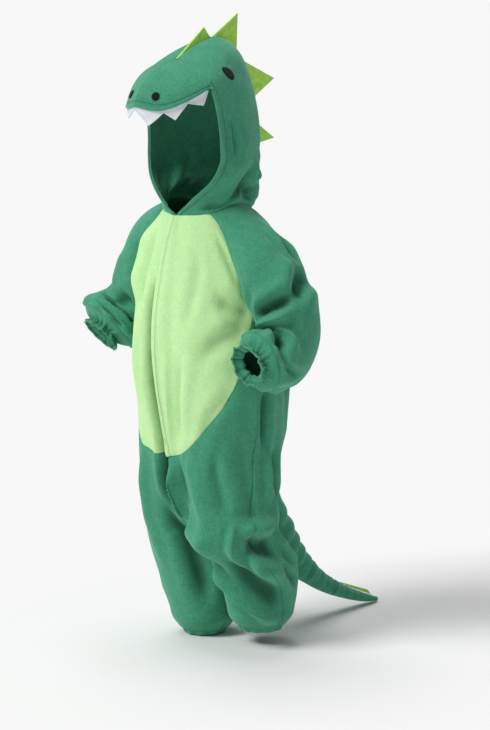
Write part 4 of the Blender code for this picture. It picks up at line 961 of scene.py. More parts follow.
class CostumeStage(PropertyGroup):
    """Camera and light."""

    distance: FloatProperty(name="Distance", description="Camera to the upright axis", default=4.0819,
                            unit="LENGTH")
    height: FloatProperty(name="Height", description="Camera above the floor", default=1.0958, unit="LENGTH")
    azimuth: FloatProperty(name="Azimuth", description="How far round the camera stands", default=0.82099,
                           subtype="ANGLE")
    pitch: FloatProperty(name="Pitch", description="How far the camera looks down", default=0.16970,
                         subtype="ANGLE")
    yaw: FloatProperty(name="Yaw", description="How far the camera turns from the axis", default=-0.01099,
                       subtype="ANGLE")
    lens: FloatProperty(name="Lens", description="Focal length in millimetres", default=148.246)
    ambient: FloatProperty(name="Ambient", description="Strength of the room's light", default=0.27)
    key: FloatProperty(name="Key", description="Strength of the large soft light", default=2.1)


# Materials


def new_group(name, inputs, outputs):
    """An empty shader group with the named sockets."""
    group = bpy.data.node_groups.new(name, "ShaderNodeTree")
    for socket, kind, default in inputs:
        made = group.interface.new_socket(name=socket, in_out="INPUT", socket_type=kind)
        if default is not None:
            made.default_value = default
    for socket, kind in outputs:
        group.interface.new_socket(name=socket, in_out="OUTPUT", socket_type=kind)
    return group, group.nodes.new("NodeGroupInput"), group.nodes.new("NodeGroupOutput")


def wire(tree, source, target):
    """Joins two sockets, or sets the target to a plain value."""
    if isinstance(source, (int, float, tuple)):
        target.default_value = source
    else:
        tree.links.new(source, target)


def maths(tree, operation, *values, clamp=False):
    """The value of a Math node on the given sockets or numbers."""
    node = tree.nodes.new("ShaderNodeMath")
    node.operation = operation
    node.use_clamp = clamp
    for value, socket in zip(values, node.inputs):
        wire(tree, value, socket)
    return node.outputs[0]


def noise(tree, vector, layer, scale=None):
    """The noise of one layer, at its own scale or at that of a socket."""
    node = tree.nodes.new("ShaderNodeTexNoise")
    wire(tree, vector, node.inputs["Vector"])
    wire(tree, scale or layer["scale"], node.inputs["Scale"])
    node.inputs["Detail"].default_value = layer["detail"]
    node.inputs["Roughness"].default_value = layer["rough"]
    return node.outputs["Fac"]


def share_of(tree, value, layer):
    """A layer's value spread over the whole range, times its share."""
    return maths(tree, "MULTIPLY", spread(tree, value, *layer["spread"]), layer["share"])


def blend_colours(tree, factor, first, second):
    """The colour between first and second."""
    node = tree.nodes.new("ShaderNodeMix")
    node.data_type = "RGBA"
    wire(tree, factor, node.inputs["Factor"])
    wire(tree, first, node.inputs["A"])
    wire(tree, second, node.inputs["B"])
    return node.outputs["Result"]


def spread(tree, value, low, high):
    """Value mapped from low..high to 0..1 with soft ends."""
    node = tree.nodes.new("ShaderNodeMapRange")
    node.interpolation_type = "SMOOTHSTEP"
    wire(tree, value, node.inputs["Value"])
    node.inputs["From Min"].default_value = low
    node.inputs["From Max"].default_value = high
    return node.outputs["Result"]


def nap_group():
    """Brushed pile: tufts, the matting of worn fleece, and slow changes of tone."""
    group, given, made = new_group(
        "Fleece nap",
        (("Vector", "NodeSocketVector", None), ("Tuft", "NodeSocketFloat", 0.0016),
         ("Pile", "NodeSocketColor", (0.1, 0.3, 0.2, 1)), ("Deep", "NodeSocketColor", (0.05, 0.2, 0.1, 1))),
        (("Color", "NodeSocketColor"), ("Height", "NodeSocketFloat")))
    vector = given.outputs["Vector"]
    rate = maths(group, "DIVIDE", 1.0, given.outputs["Tuft"])
    values = {}
    for name, layer in NAP_LAYERS.items():
        values[name] = noise(group, vector, layer, maths(group, "MULTIPLY", rate, layer["scale"]))
    tufts, matting, tone = (share_of(group, values[name], layer) for name, layer in NAP_LAYERS.items())
    rest = 1 - NAP_LAYERS["tone"]["share"]
    shade = maths(group, "MULTIPLY", maths(group, "ADD", tufts, matting), rest)
    shade = maths(group, "ADD", shade, tone, clamp=True)
    wire(group, blend_colours(group, shade, given.outputs["Deep"], given.outputs["Pile"]),
         made.inputs["Color"])
    high = maths(group, "MULTIPLY", values["tufts"], NAP_LAYERS["tufts"]["height"])
    matted = maths(group, "MULTIPLY", values["matting"], NAP_LAYERS["matting"]["height"])
    wire(group, maths(group, "ADD", high, matted), made.inputs["Height"])
    return group


def stitch_group():
    """A row of stitches: a groove along the line where Off is 0, and threads along Run."""
    group, given, made = new_group(
        "Stitch row",
        (("Off", "NodeSocketFloat", 1.0), ("Run", "NodeSocketFloat", 0.0),
         ("Pitch", "NodeSocketFloat", 0.0034)),
        (("Thread", "NodeSocketFloat"), ("Groove", "NodeSocketFloat"), ("Height", "NodeSocketFloat")))
    off = maths(group, "ABSOLUTE", given.outputs["Off"])
    groove = maths(group, "SUBTRACT", 1.0, spread(group, off, *STITCH["groove"]))
    step = maths(group, "FRACT", maths(group, "DIVIDE", given.outputs["Run"], given.outputs["Pitch"]))
    middle = maths(group, "ABSOLUTE", maths(group, "SUBTRACT", step, 0.5))
    dash = maths(group, "SUBTRACT", 1.0, spread(group, middle, *STITCH["ends"]))
    narrow = maths(group, "SUBTRACT", 1.0, spread(group, off, *STITCH["thread"]))
    thread = maths(group, "MULTIPLY", dash, narrow)
    wire(group, thread, made.inputs["Thread"])
    wire(group, groove, made.inputs["Groove"])
    wire(group, maths(group, "SUBTRACT", maths(group, "MULTIPLY", thread, STITCH["high"]),
                      maths(group, "MULTIPLY", groove, STITCH["deep"])), made.inputs["Height"])
    return group


def felt_group():
    """Pressed felt: short crossing fibres and a faint mottle."""
    group, given, made = new_group(
        "Pressed felt",
        (("Vector", "NodeSocketVector", None), ("Color", "NodeSocketColor", (0.5, 0.5, 0.5, 1)),
         ("Shade", "NodeSocketColor", (0.3, 0.3, 0.3, 1))),
        (("Color", "NodeSocketColor"), ("Height", "NodeSocketFloat")))
    fibres = []
    for stretch in FIBRE_STRETCHES:
        mapping = group.nodes.new("ShaderNodeMapping")
        mapping.inputs["Scale"].default_value = stretch
        wire(group, given.outputs["Vector"], mapping.inputs["Vector"])
        fibres.append(noise(group, mapping.outputs["Vector"], FIBRE))
    fibre = maths(group, "MAXIMUM", maths(group, "MAXIMUM", fibres[0], fibres[1]), fibres[2])
    mottle = noise(group, given.outputs["Vector"], MOTTLE)
    shade = maths(group, "ADD", share_of(group, fibre, FIBRE), share_of(group, mottle, MOTTLE))
    wire(group, blend_colours(group, shade, given.outputs["Shade"], given.outputs["Color"]),
         made.inputs["Color"])
    wire(group, fibre, made.inputs["Height"])
    return group


def new_material(name):
    """A material with its node tree, its shader and where each point of the piece is."""
    material = bpy.data.materials.new(name + LOOK)
    material.use_nodes = True
    tree = material.node_tree
    shader = tree.nodes["Principled BSDF"]
    where = tree.nodes.new("ShaderNodeTexCoord").outputs["Object"]
    return material, tree, shader, where


def placed(tree, group):
    """A shader group, placed in a material."""
    node = tree.nodes.new("ShaderNodeGroup")
    node.node_tree = group
    return node


def attribute(tree, name):
    """A value that the piece's points carry."""
    node = tree.nodes.new("ShaderNodeAttribute")
    node.attribute_name = name
    return node.outputs["Fac"]


def bumped(tree, shader, height, strength, distance):
    """Feeds a height to the shader's normal."""
    bump = tree.nodes.new("ShaderNodeBump")
    bump.inputs["Strength"].default_value = strength
    bump.inputs["Distance"].default_value = distance
    wire(tree, height, bump.inputs["Height"])
    wire(tree, bump.outputs["Normal"], shader.inputs["Normal"])


def finish(shader, values):
    """Sets the shader's own sockets."""
    for socket, value in values.items():
        shader.inputs[socket].default_value = value


def fleece_material(name, nap, stitches, pile, deep, tuft):
    """Brushed fleece: its nap, with painted shade in its creases, troughs and stitched grooves, under a soft
    sheen.
    """
    # The sheen's tint, and how strongly shade is painted into the stitched groove.
    tint, groove_painted_shade = FLEECE_SHEEN_AND_GROOVE_SHADE[name]
    _, tree, shader, where = new_material(name)
    cloth = placed(tree, nap)
    wire(tree, where, cloth.inputs["Vector"])
    cloth.inputs["Tuft"].default_value = tuft
    cloth.inputs["Pile"].default_value = (*pile, 1)
    cloth.inputs["Deep"].default_value = (*deep, 1)
    row = placed(tree, stitches)
    wire(tree, attribute(tree, "stitch_off"), row.inputs["Off"])
    wire(tree, attribute(tree, "stitch_run"), row.inputs["Run"])
    thread = tuple(min(1.0, channel * THREAD_SHARE) for channel in pile)
    dark = tuple(channel * PAINTED_SHADE_SHARE for channel in deep) + (1,)
    # Painted shade: darker in the creases and troughs, then in the stitched grooves.
    painted_shade = blend_colours(tree, maths(tree, "MULTIPLY", attribute(tree, "painted_shade"), PAINTED_SHADE_MOST),
                         cloth.outputs["Color"], dark)
    painted_shade = blend_colours(tree, maths(tree, "MULTIPLY", row.outputs["Groove"], groove_painted_shade), painted_shade, dark)
    wire(tree, blend_colours(tree, row.outputs["Thread"], painted_shade, (*thread, 1)), shader.inputs["Base Color"])
    height = maths(tree, "ADD", cloth.outputs["Height"], row.outputs["Height"])
    bumped(tree, shader, height, *FLEECE_BUMP)
    finish(shader, FLEECE_FINISH)
    shader.inputs["Sheen Tint"].default_value = (*tint, 1)


def felt_material(name, felt, colour):
    """Matt pressed felt, its mottle a share of its colour."""
    _, tree, shader, where = new_material(name)
    cloth = placed(tree, felt)
    wire(tree, where, cloth.inputs["Vector"])
    cloth.inputs["Color"].default_value = (*colour, 1)
    cloth.inputs["Shade"].default_value = (*[channel * FELT_SHADES[name] for channel in colour], 1)
    wire(tree, cloth.outputs["Color"], shader.inputs["Base Color"])
    bumped(tree, shader, cloth.outputs["Height"], *FELT_BUMP)
    finish(shader, FELT_FINISH)


def make_materials(cloth):
    """The two fleeces and the three felts."""
    nap = nap_group()
    stitches = stitch_group()
    felt = felt_group()
    fleece_material("fleece_green", nap, stitches, cloth.green, cloth.green_deep, cloth.nap)
    fleece_material("fleece_lime", nap, stitches, cloth.lime, cloth.lime_deep, cloth.nap)
    felt_material("felt_lime", felt, cloth.spikes)
    felt_material("felt_white", felt, cloth.teeth)
    felt_material("felt_black", felt, cloth.black)


# Cloth


def crease_height(u, v, metres, creases, share=1.0, around=False):
    """How far creases push the cloth out. Each has softer lips on both sides of its line."""
    height = np.zeros(np.broadcast(u, v).shape)
    for u1, v1, u2, v2, width, depth, bow in zip(*creases.values()):
        run = np.array(((u2 - u1) * metres[0], (v2 - v1) * metres[1]))
        length = np.hypot(*run)
        du = u - (u1 + u2) / 2
        if around:
            du = (du + 0.5) % 1 - 0.5
        du = (du + (u2 - u1) / 2) * metres[0]
        dv = (v - v1) * metres[1]
        f = (du * run[0] + dv * run[1]) / length**2
        across = ((du * run[1] - dv * run[0]) / length - bow * 4 * f * (1 - f)) / width
        ends = smooth(*CREASE_FADE, f) * smooth(*CREASE_FADE, 1 - f)
        lips = np.exp(-(((np.abs(across) - LIP_AT) / LIP_WIDTH) ** 2))
        height += share * depth * ends * (np.exp(-(across**2)) - LIP * lips)
    return height


def from_edge(grid, edge):
    """Distance in metres of each grid point from one edge, measured along its row or column."""
    axis = 0 if edge in ("bottom", "top") else 1
    steps = np.linalg.norm(np.diff(grid, axis=axis), axis=-1)
    lengths = np.insert(np.cumsum(steps, axis=axis), 0, 0, axis=axis)
    if edge in ("top", "right"):
        lengths = lengths.max(axis=axis, keepdims=True) - lengths
    return lengths


def seam_dip(grid, edges, depth):
    """How far the cloth sinks into the seams along the named edges, with faint puckers."""
    height = np.zeros(grid.shape[:2])
    for edge in edges:
        run = from_edge(grid, "left" if edge in ("bottom", "top") else "bottom")
        off = from_edge(grid, edge)
        wave = np.sin(run / PUCKER["length"] + 2 * np.sin(run / PUCKER["drift"]))
        beside = np.exp(-((off / (PUCKER["reach"] * SEAM_REACH)) ** 2))
        height -= depth * np.exp(-((off / SEAM_REACH) ** 2))
        height -= depth * PUCKER["share"] * (1 + PUCKER["swing"] * wave) * beside
    return height


def selected_only(made):
    """Leaves one piece selected and active."""
    bpy.ops.object.select_all(action="DESELECT")
    made.select_set(True)
    bpy.context.view_layer.objects.active = made


def mesh_of(name, points, faces, values=()):
    """A mesh object in the frame of the origin, with a float attribute for each (name, values)."""
    mesh = bpy.data.meshes.new(name)
    moved = np.asarray(points, float) - (0, 0, SHOULDER_HEIGHT)
    mesh.from_pydata(moved.tolist(), [], [tuple(int(i) for i in face) for face in faces])
    for attribute_name, numbers in values:
        made = mesh.attributes.new(attribute_name, "FLOAT", "POINT")
        made.data.foreach_set("value", np.ascontiguousarray(numbers, np.float32).ravel())
    mesh.update()
    made = bpy.data.objects.new(name, mesh)
    bpy.context.scene.collection.objects.link(made)
    return made


def grid_faces(rows, columns, closed):
    """The quads of a grid of points, wrapped round along its columns where it is closed."""
    across = columns if closed else columns - 1
    i, j = np.meshgrid(np.arange(rows - 1), np.arange(across), indexing="ij")
    k = (j + 1) % columns
    quads = (i * columns + j, i * columns + k, (i + 1) * columns + k, (i + 1) * columns + j)
    return np.stack(quads, axis=-1).reshape(-1, 4)


def dressed(made, node, slot):
    """Smooth shading, the material, and what the piece is in the frame."""
    selected_only(made)
    bpy.ops.object.shade_smooth_by_angle(angle=SMOOTH_ANGLE)
    made.data.materials.append(bpy.data.materials[slot + LOOK])
    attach(made, "root")
    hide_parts(node)
    return made


def sewn(node, grid, normals, slot, closed=False, stitch=None,
         thickness=None, height=0.0):
    """A fleece piece through a grid of outer points, as a thin shell turned inwards, with shade painted where
    height sinks it.
    """
    rows, columns = grid.shape[:2]
    faces = grid_faces(rows, columns, closed)
    corner = grid.reshape(-1, 3)[faces]
    facing = np.cross(corner[:, 2] - corner[:, 0], corner[:, 3] - corner[:, 1])
    if np.sum(facing * normals.reshape(-1, 3)[faces[:, 0]]) < 0:
        faces = faces[:, ::-1]
    off, run = stitch if stitch else (np.ones((rows, columns)), np.zeros((rows, columns)))
    # Painted shade: the colour darkens where height sinks the cloth into a crease, trough or seam.
    painted_shade = smooth(PAINTED_SHADE_FROM, PAINTED_SHADE_TO, -np.broadcast_to(height, (rows, columns)))
    values = (("stitch_off", off), ("stitch_run", run), ("painted_shade", painted_shade))
    made = mesh_of(f"{node}_cloth", grid.reshape(-1, 3), faces, values)
    selected_only(made)
    bpy.ops.object.modifier_add(type="SOLIDIFY")
    solidify = made.modifiers[-1]
    solidify.thickness = thickness or bpy.context.scene.costume_cloth.fleece
    solidify.offset = -1.0
    solidify.use_quality_normals = True
    bpy.ops.object.modifier_apply(modifier=solidify.name)
    return dressed(made, node, slot)


def body_creases(t, z, share):
    """The creases of the body, gone at its ends, where other pieces are sewn on."""
    height = sum(crease_height(t, z, BODY_METRES, creases, share) for creases in BODY_CREASES)
    loop = np.concatenate([raglan_loop(1), raglan_loop(-1)])
    near = np.full(np.shape(height), 1.0)
    for place_t, place_z in loop[::2]:
        near = np.minimum(near, np.hypot((t - place_t) * BODY_METRES[0], z - place_z))
    below_neck = smooth(0.0, EDGE_CLEAR, neck_z(t) - z)
    above_hem = smooth(0.0, EDGE_CLEAR, z - INSEAM_Z[0])
    return height * smooth(*RAGLAN_CLEAR, near) * below_neck * above_hem


def lap_trough(t, z):
    """The press of the placket's free edge on the panel under it, a real trough whose depth also paints shade
    there.
    """
    off = (t - spline(LAP["z"], LAP["t"], z)) * BODY_METRES[0] + LAP_TROUGH_AT
    return -LAP_TROUGH * np.exp(-((off / LAP_TROUGH_AT) ** 2))


def groove(off, row):
    """The groove that a row of stitches pulls, at each distance off it."""
    return -row["depth"] * np.exp(-((off / row["width"]) ** 2))


def panel(node, side, places, edges, slot, cloth, pressed=0.0):
    """One fleece panel of the body, with its own height pressed added to the creases."""
    t = side * places[..., 0]
    z = places[..., 1]
    grid = drawn_back(body_point(t, z), edges, 2 * SEAM_GAP)
    normals = body_normal(t, z)
    height = body_creases(t, z, cloth.creases) + seam_dip(grid, edges, cloth.seam_dip) + pressed
    grid = clear_of_middle(grid + height[..., None] * normals, side)
    return sewn(node, grid, normals, slot, height=height)


def edge_mask(grid, edges, reach=MASK_REACH):
    """1 along the named edges, fading to 0 within reach, so that neighbours still meet."""
    mask = np.zeros(grid.shape[:2])
    for edge in edges:
        mask = np.maximum(mask, np.exp(-((from_edge(grid, edge) / reach) ** 2)))
    return mask


def make_belly(cloth):
    """The right panel, and the left one lapped over it along the placket."""
    places = belly_places(-1)
    edges = ("bottom", "top", "left", "right")
    panel("belly_right", -1, places, edges, "fleece_lime", cloth,
          lap_trough(-places[..., 0], places[..., 1]))
    places = belly_places(1)
    middle_z = places[:, :1, 1]
    share = np.linspace(1, 0, DETAIL + 1)[None, :-1]
    lap_t = np.minimum(spline(LAP["z"], LAP["t"], middle_z), LAP_LEAST)
    lap = np.stack([lap_t * share, np.broadcast_to(middle_z, lap_t.shape[:1] + (DETAIL,))], axis=-1)
    lapped = np.concatenate([lap, places], axis=1)
    t = lapped[..., 0]
    z = lapped[..., 1]
    grid = drawn_back(body_point(t, z), ("bottom", "top", "right"), 1.5 * SEAM_GAP)
    normals = body_normal(t, z)
    inward = from_edge(grid, "left")
    rolled = 1 - LAP_ROLL + LAP_ROLL * smooth(*LAP_ROLL_REACH, inward)
    lift = (FLEECE + LAP_LIFT) * (1 - smooth(0.0, LAP_FADE_T, t)) * rolled
    height = body_creases(t, z, cloth.creases) * smooth(*LAP_SMOOTH_T, t)
    height = height + seam_dip(grid, ("bottom", "top", "right"), cloth.seam_dip) + lift
    off = inward - STITCH_ROWS["placket"]["at"]
    height = height + groove(off, STITCH_ROWS["placket"])
    height = height + LAP_BEAD * np.exp(-((inward / LAP_BEAD_WIDTH) ** 2))
    grid = grid + height[..., None] * normals
    # The painted shade follows the folds, seams and stitch groove, not the lap's lift.
    sewn("belly_left", grid, normals, "fleece_lime",
         stitch=(off, from_edge(grid, "bottom")), height=height - lift)


def make_legs(cloth):
    """The green fronts, with the strips beside the belly."""
    for side, word in SIDES:
        panel(f"front_leg_{word}", side, front_leg_places(side), ("top", "left", "right"),
              "fleece_green", cloth)


def make_back(cloth):
    """The two back panels, from the ankles to the neck."""
    for side, word in SIDES:
        panel(f"back_{word}", side, back_places(), ("top", "left", "right"),
              "fleece_green", cloth)


def gathered(turns, waves, phase):
    """Uneven gathers round a tube, between -1 and 1."""
    wave = np.cos(2 * math.pi * waves * turns + DRIFT * np.sin(2 * math.pi * turns + phase))
    slow = np.cos(2 * math.pi * UNEVEN["waves"] * turns + phase)
    return wave * (1 - UNEVEN["share"] + UNEVEN["share"] * slow)


def make_sleeves(cloth):
    """The raglan sleeves, gathered towards the cuffs."""
    turns = np.arange(SLEEVE_COLUMNS) / SLEEVE_COLUMNS
    for side, word, creases in ((1, "left", LEFT_SLEEVE_CREASES), (-1, "right", RIGHT_SLEEVE_CREASES)):
        rows = np.linspace(0, CUFF_START, SLEEVE_ROWS + 1)
        grid = drawn_back(sleeve_grid(side, rows, turns), ("bottom", "top"), 1.6 * SEAM_GAP)
        normals = sleeve_normals(side, rows, turns)
        normals[0] = body_normal(*raglan_loop(side).T)
        height = crease_height(turns[None, :], rows[:, None], SLEEVE_METRES, creases, cloth.creases, True)
        near_cuff = smooth(CUFF_START - CUFF_GATHER_ROWS, CUFF_START, rows)[:, None]
        height = height + CUFF_GATHERS * near_cuff * gathered(turns, CUFF_WAVES, 0.0)[None, :]
        height = height * (1 - edge_mask(grid, ("bottom", "top"), SLEEVE_MASK_REACH))
        height = height + seam_dip(grid, ("bottom", "top"), cloth.seam_dip)
        sewn(f"sleeve_{word}", grid + height[..., None] * normals, normals, "fleece_green",
             closed=True, height=height)


def make_cuffs(cloth):
    """The ruffled cuffs beyond the elastic."""
    turns = np.arange(CUFF_COLUMNS) / CUFF_COLUMNS
    for side, word in SIDES:
        rows = np.linspace(CUFF_START, SLEEVE_END, CUFF_ROWS + 1)
        grid = drawn_back(sleeve_grid(side, rows, turns, CUFF_WAVES), ("bottom",))
        normals = sleeve_normals(side, rows, turns, CUFF_WAVES)
        swell = smooth(*CUFF_RIPPLE_ROWS, rows - CUFF_START)[:, None]
        height = CUFF_RIPPLE * swell * gathered(turns, 2 * CUFF_WAVES + 1, 0.7)[None, :]
        height = height + seam_dip(grid, ("bottom",), cloth.seam_dip)
        off = from_edge(grid, "top") - CUFF_STITCH
        run = from_edge(np.concatenate([grid, grid[:, :1]], axis=1), "left")[:, :-1]
        # The painted shade is taken at twice the ripples' depth.
        sewn(f"cuff_{word}", grid + height[..., None] * normals, normals, "fleece_green",
             closed=True, stitch=(off, run), height=2 * height)


def make_leg_hems():
    """The turned and gathered hems at the ankles."""
    turns = np.arange(LEG_HEM["columns"]) / LEG_HEM["columns"]
    angle = 2 * math.pi * turns
    wave = HEM_RIPPLE * np.cos(LEG_HEM["waves"] * angle + HEM_DRIFT * np.sin(angle))
    foot = {name: BODY[name][0] for name in BODY}
    heights = np.linspace(LEG_HEM["bottom"], LEG_HEM["top"], LEG_HEM["rows"] + 1)
    for side, word in SIDES:
        grid = []
        for z in heights:
            shift = (0, *stride(side, foot["z"]))
            low = (LEG_HEM["top"] - z) / (LEG_HEM["top"] - LEG_HEM["bottom"])
            spread_out = wave - HEM_TURN_IN * low - HEM_TUCK
            x = foot["centre_x"] + (foot["half_width"] + spread_out) * np.sin(angle)
            y = foot["centre_y"] - (foot["front"] + spread_out) * np.cos(angle)
            grid.append(np.stack([side * x, y, np.full_like(x, z)], axis=-1) + shift)
        grid = np.array(grid)
        normals = outward_normals(grid, grid.mean(axis=1, keepdims=True), closed=True)
        sewn(f"leg_hem_{word}", grid, normals, "fleece_green",
             closed=True)


def make_hood(cloth):
    """The hood's side panels, and the hem turned in along the face opening."""
    m = np.linspace(0, 1, HOOD_ROWS + 1)[:, None]
    c = np.linspace(0, 1, HOOD_COLUMNS + 1)[None, :]
    for side, word in SIDES:
        grid = drawn_back(hood_point(side, m, c), ("left",))
        grid = drawn_back(grid, ("top",), -NECK_LAP)
        normals = hood_normals(side, m, c)
        share = cloth.creases if side > 0 else RIGHT_HOOD_SHARE * cloth.creases
        height = crease_height(c, m, HOOD_METRES, HOOD_CREASES, share)
        height = height * (1 - edge_mask(grid, ("bottom", "top", "left", "right")))
        height = height + seam_dip(grid, ("bottom", "top", "left"), cloth.seam_dip)
        inward = from_edge(grid, "right")
        off = inward - STITCH_ROWS["hood"]["at"]
        height = height + groove(off, STITCH_ROWS["hood"])
        height = height + HOOD_HEM_RISE * smooth(0.0, HOOD_HEM_ROUND, inward) * (off < 0)
        outer = clear_of_middle(grid + height[..., None] * normals, side)
        sewn(f"hood_{word}", outer, normals, "fleece_green",
             stitch=(off, from_edge(grid, "bottom")), height=height)
        count = HOOD_HEM_COLUMNS * DETAIL
        near = normals[:-DETAIL, -count - 1:]
        hem = drawn_back(grid[:-DETAIL, -count - 1:], ("right",), 4 * SEAM_GAP)
        outer = clear_of_middle(hem - (FLEECE + 2 * SEAM_GAP) * near, side)
        sewn(f"hood_hem_{word}", outer, near, "fleece_green",
             thickness=HEM_CLOTH)


def make_snout(cloth):
    """The snout's top panels, stitched along the brim."""
    p = np.linspace(0, 1, SNOUT_ROWS + 1)[:, None]
    q = np.linspace(0, 1, HOOD_COLUMNS + 1)[None, :]
    for side, word in SIDES:
        grid = drawn_back(snout_point(side, p, q), ("bottom", "left"))
        normals = outward_normals(grid, SNOUT_INSIDE)
        normals[0] = hood_normals(side, 0.0, q[0])
        off = from_edge(grid, "top") - STITCH_ROWS["brim"]["at"]
        height = seam_dip(grid, ("bottom", "left"), cloth.seam_dip) + groove(off, STITCH_ROWS["brim"])
        outer = clear_of_middle(grid + height[..., None] * normals, side)
        sewn(f"snout_{word}", outer, normals, "fleece_green",
             stitch=(off, from_edge(grid, "left")))


def felt_piece(node, points, faces, slot):
    """A closed felt piece, its faces turned outwards."""
    made = mesh_of(f"{node}_felt", points, faces)
    selected_only(made)
    bpy.ops.object.mode_set(mode="EDIT")
    bpy.ops.mesh.select_all(action="SELECT")
    bpy.ops.mesh.normals_make_consistent(inside=False)
    bpy.ops.object.mode_set(mode="OBJECT")
    return dressed(made, node, slot)


def wall_of(outer, inner):
    """Points and faces of a flat piece between two grids."""
    rows, columns = outer.shape[:2]
    count = rows * columns
    front = grid_faces(rows, columns, closed=False)
    rim = list(range(columns))
    rim += [i * columns + columns - 1 for i in range(1, rows)]
    rim += [(rows - 1) * columns + j for j in range(columns - 2, -1, -1)]
    rim += [i * columns for i in range(rows - 2, 0, -1)]
    faces = [tuple(face) for face in front] + [tuple(count + face[::-1]) for face in front]
    for a, b in zip(rim, rim[1:] + rim[:1]):
        faces.append((b, a, count + a, count + b))
    return np.concatenate([outer.reshape(-1, 3), inner.reshape(-1, 3)]), faces


def make_teeth(cloth):
    """The zigzag strip of teeth, its points slightly curled."""
    for side, word in SIDES:
        shares, drops = zigzag(side)
        fine = np.linspace(0, len(shares) - 1, (len(shares) - 1) * 4 + 1)
        share = np.interp(fine, np.arange(len(shares)), shares)
        drop = np.interp(fine, np.arange(len(shares)), drops)
        near = snout_point(side, np.array((TOOTH_NEAR, 1.0))[:, None], share[None, :])
        normals = outward_normals(near, SNOUT_INSIDE)[1]
        edge = near[1] - normals * (FLEECE + 2 * SEAM_GAP)
        down = near[1] - near[0]
        down /= np.linalg.norm(down, axis=-1, keepdims=True)
        lean = down * 0.5 + np.array((0, 0, -0.5))
        rows = [edge - down * TOOTH_ROOT, edge]
        for part in np.linspace(0.12, 1.0, TOOTH_ROWS):
            curl = -TOOTH_CURL * math.sin(math.pi * part)
            rows.append(edge + lean * (drop * part)[:, None] + normals * curl)
        grid = np.stack(rows)
        flat = outward_normals(grid, SNOUT_INSIDE)
        points, faces = wall_of(clear_of_middle(grid, side), clear_of_middle(grid - cloth.felt * flat, side))
        felt_piece(f"teeth_{word}", points, faces, "felt_white")


def spike_piece(node, base, tip):
    """A felt triangle on the points base of a seam, its faces slightly pillowed."""
    heights = np.linspace(0.0, SPIKE_POINT, SPIKE_ROWS)
    rows = np.array([base + (tip - base) * h for h in heights])
    across = np.linspace(0, 1, len(base))
    thick = SPIKE_ROOT + (SPIKE_TIP - SPIKE_ROOT) * heights[:, None]
    rim = np.minimum(1, np.minimum(across, 1 - across) * SPIKE_RIM_RISE)[None, :]
    rim = SPIKE_RIM + (1 - SPIKE_RIM) * np.sqrt(rim)
    thick = thick * rim
    left = np.concatenate([thick[..., None], rows], axis=-1)
    points, faces = wall_of(left, left * (-1, 1, 1))
    felt_piece(node, points, faces, "felt_lime")


def make_spikes(cloth):
    """The four spikes of the hood's centre seam and the one on the tail."""
    for number, (m1, m2, tip_y, tip_z) in enumerate(zip(*SPIKES.values()), 1):
        m = np.linspace(m1, m2, SPIKE_COLUMNS)
        seam = hood_point(1, m, 0.0)[:, 1:]
        slope = hood_point(1, m + SHARE_STEP, 0.0)[:, 1:] - hood_point(1, m - SHARE_STEP, 0.0)[:, 1:]
        slope /= np.linalg.norm(slope, axis=-1, keepdims=True)
        out = np.stack([-slope[:, 1], slope[:, 0]], axis=-1)
        base = seam + out * (0.5 * SEAM_GAP - cloth.seam_dip)
        spike_piece(f"spike_{number}", base, np.array((tip_y, tip_z)))
    s = np.linspace(TAIL_SPIKE["from"], TAIL_SPIKE["to"], SPIKE_COLUMNS)
    base = tail_point(s, 0.0)[:, 1:] + TAIL_SPIKE_OFF
    spike_piece("tail_spike", base, np.array(TAIL_SPIKE["tip"]))


def disc_piece(node, surface, at, half_long, half_short, slant, side, cut, rests_on):
    """An oval felt patch on a surface, its rim turned down to the cloth under it."""
    centre = surface(side, *at)
    along_m = (surface(side, at[0] + SHARE_STEP, at[1]) - centre) / SHARE_STEP
    along_c = (surface(side, at[0], at[1] + SHARE_STEP) - centre) / SHARE_STEP
    normal = np.cross(along_m, along_c)
    normal /= np.linalg.norm(normal)
    if np.dot(normal, centre - DISC_INSIDE) < 0:
        normal = -normal
    right = np.cross((0, 0, 1.0), normal)
    right /= np.linalg.norm(right)
    upright = np.cross(normal, right)
    basis = np.stack([along_m, along_c, normal], axis=1)
    lean = math.radians(slant) * side
    long_axis = math.cos(lean) * upright - math.sin(lean) * right
    short_axis = np.cross(normal, long_axis)
    angle = np.arange(DISC_POINTS) * 2 * math.pi / DISC_POINTS
    rings = []
    for share, lift in DISC_RINGS:
        flat = np.outer(np.cos(angle) * half_long * share, long_axis)
        flat = flat + np.outer(np.sin(angle) * half_short * share, short_axis)
        local = np.zeros_like(flat)
        for _ in range(DISC_STEPS):
            place = surface(side, at[0] + local[:, 0], at[1] + local[:, 1])
            miss = centre + flat - place
            miss -= np.outer(miss @ normal, normal)
            local += np.linalg.solve(basis, miss.T).T
        rings.append(surface(side, at[0] + local[:, 0], at[1] + local[:, 1]) + normal * lift)
    points = np.concatenate(rings)
    faces = [tuple(face) for face in grid_faces(len(rings), DISC_POINTS, True)]
    faces += [tuple(range(DISC_POINTS)), tuple(range(len(points) - DISC_POINTS, len(points)))]
    felt_piece(node, points, faces, "felt_black")


def make_face():
    """The oval eyes and the round nostrils."""
    for side, word in SIDES:
        disc_piece(f"eye_{word}", hood_point, side=side, cut="eye", rests_on=[f"hood_{word}"], **EYE)
        disc_piece(f"nostril_{word}", snout_point, side=side, cut="nostril", rests_on=[f"snout_{word}"],
                   **NOSTRIL)


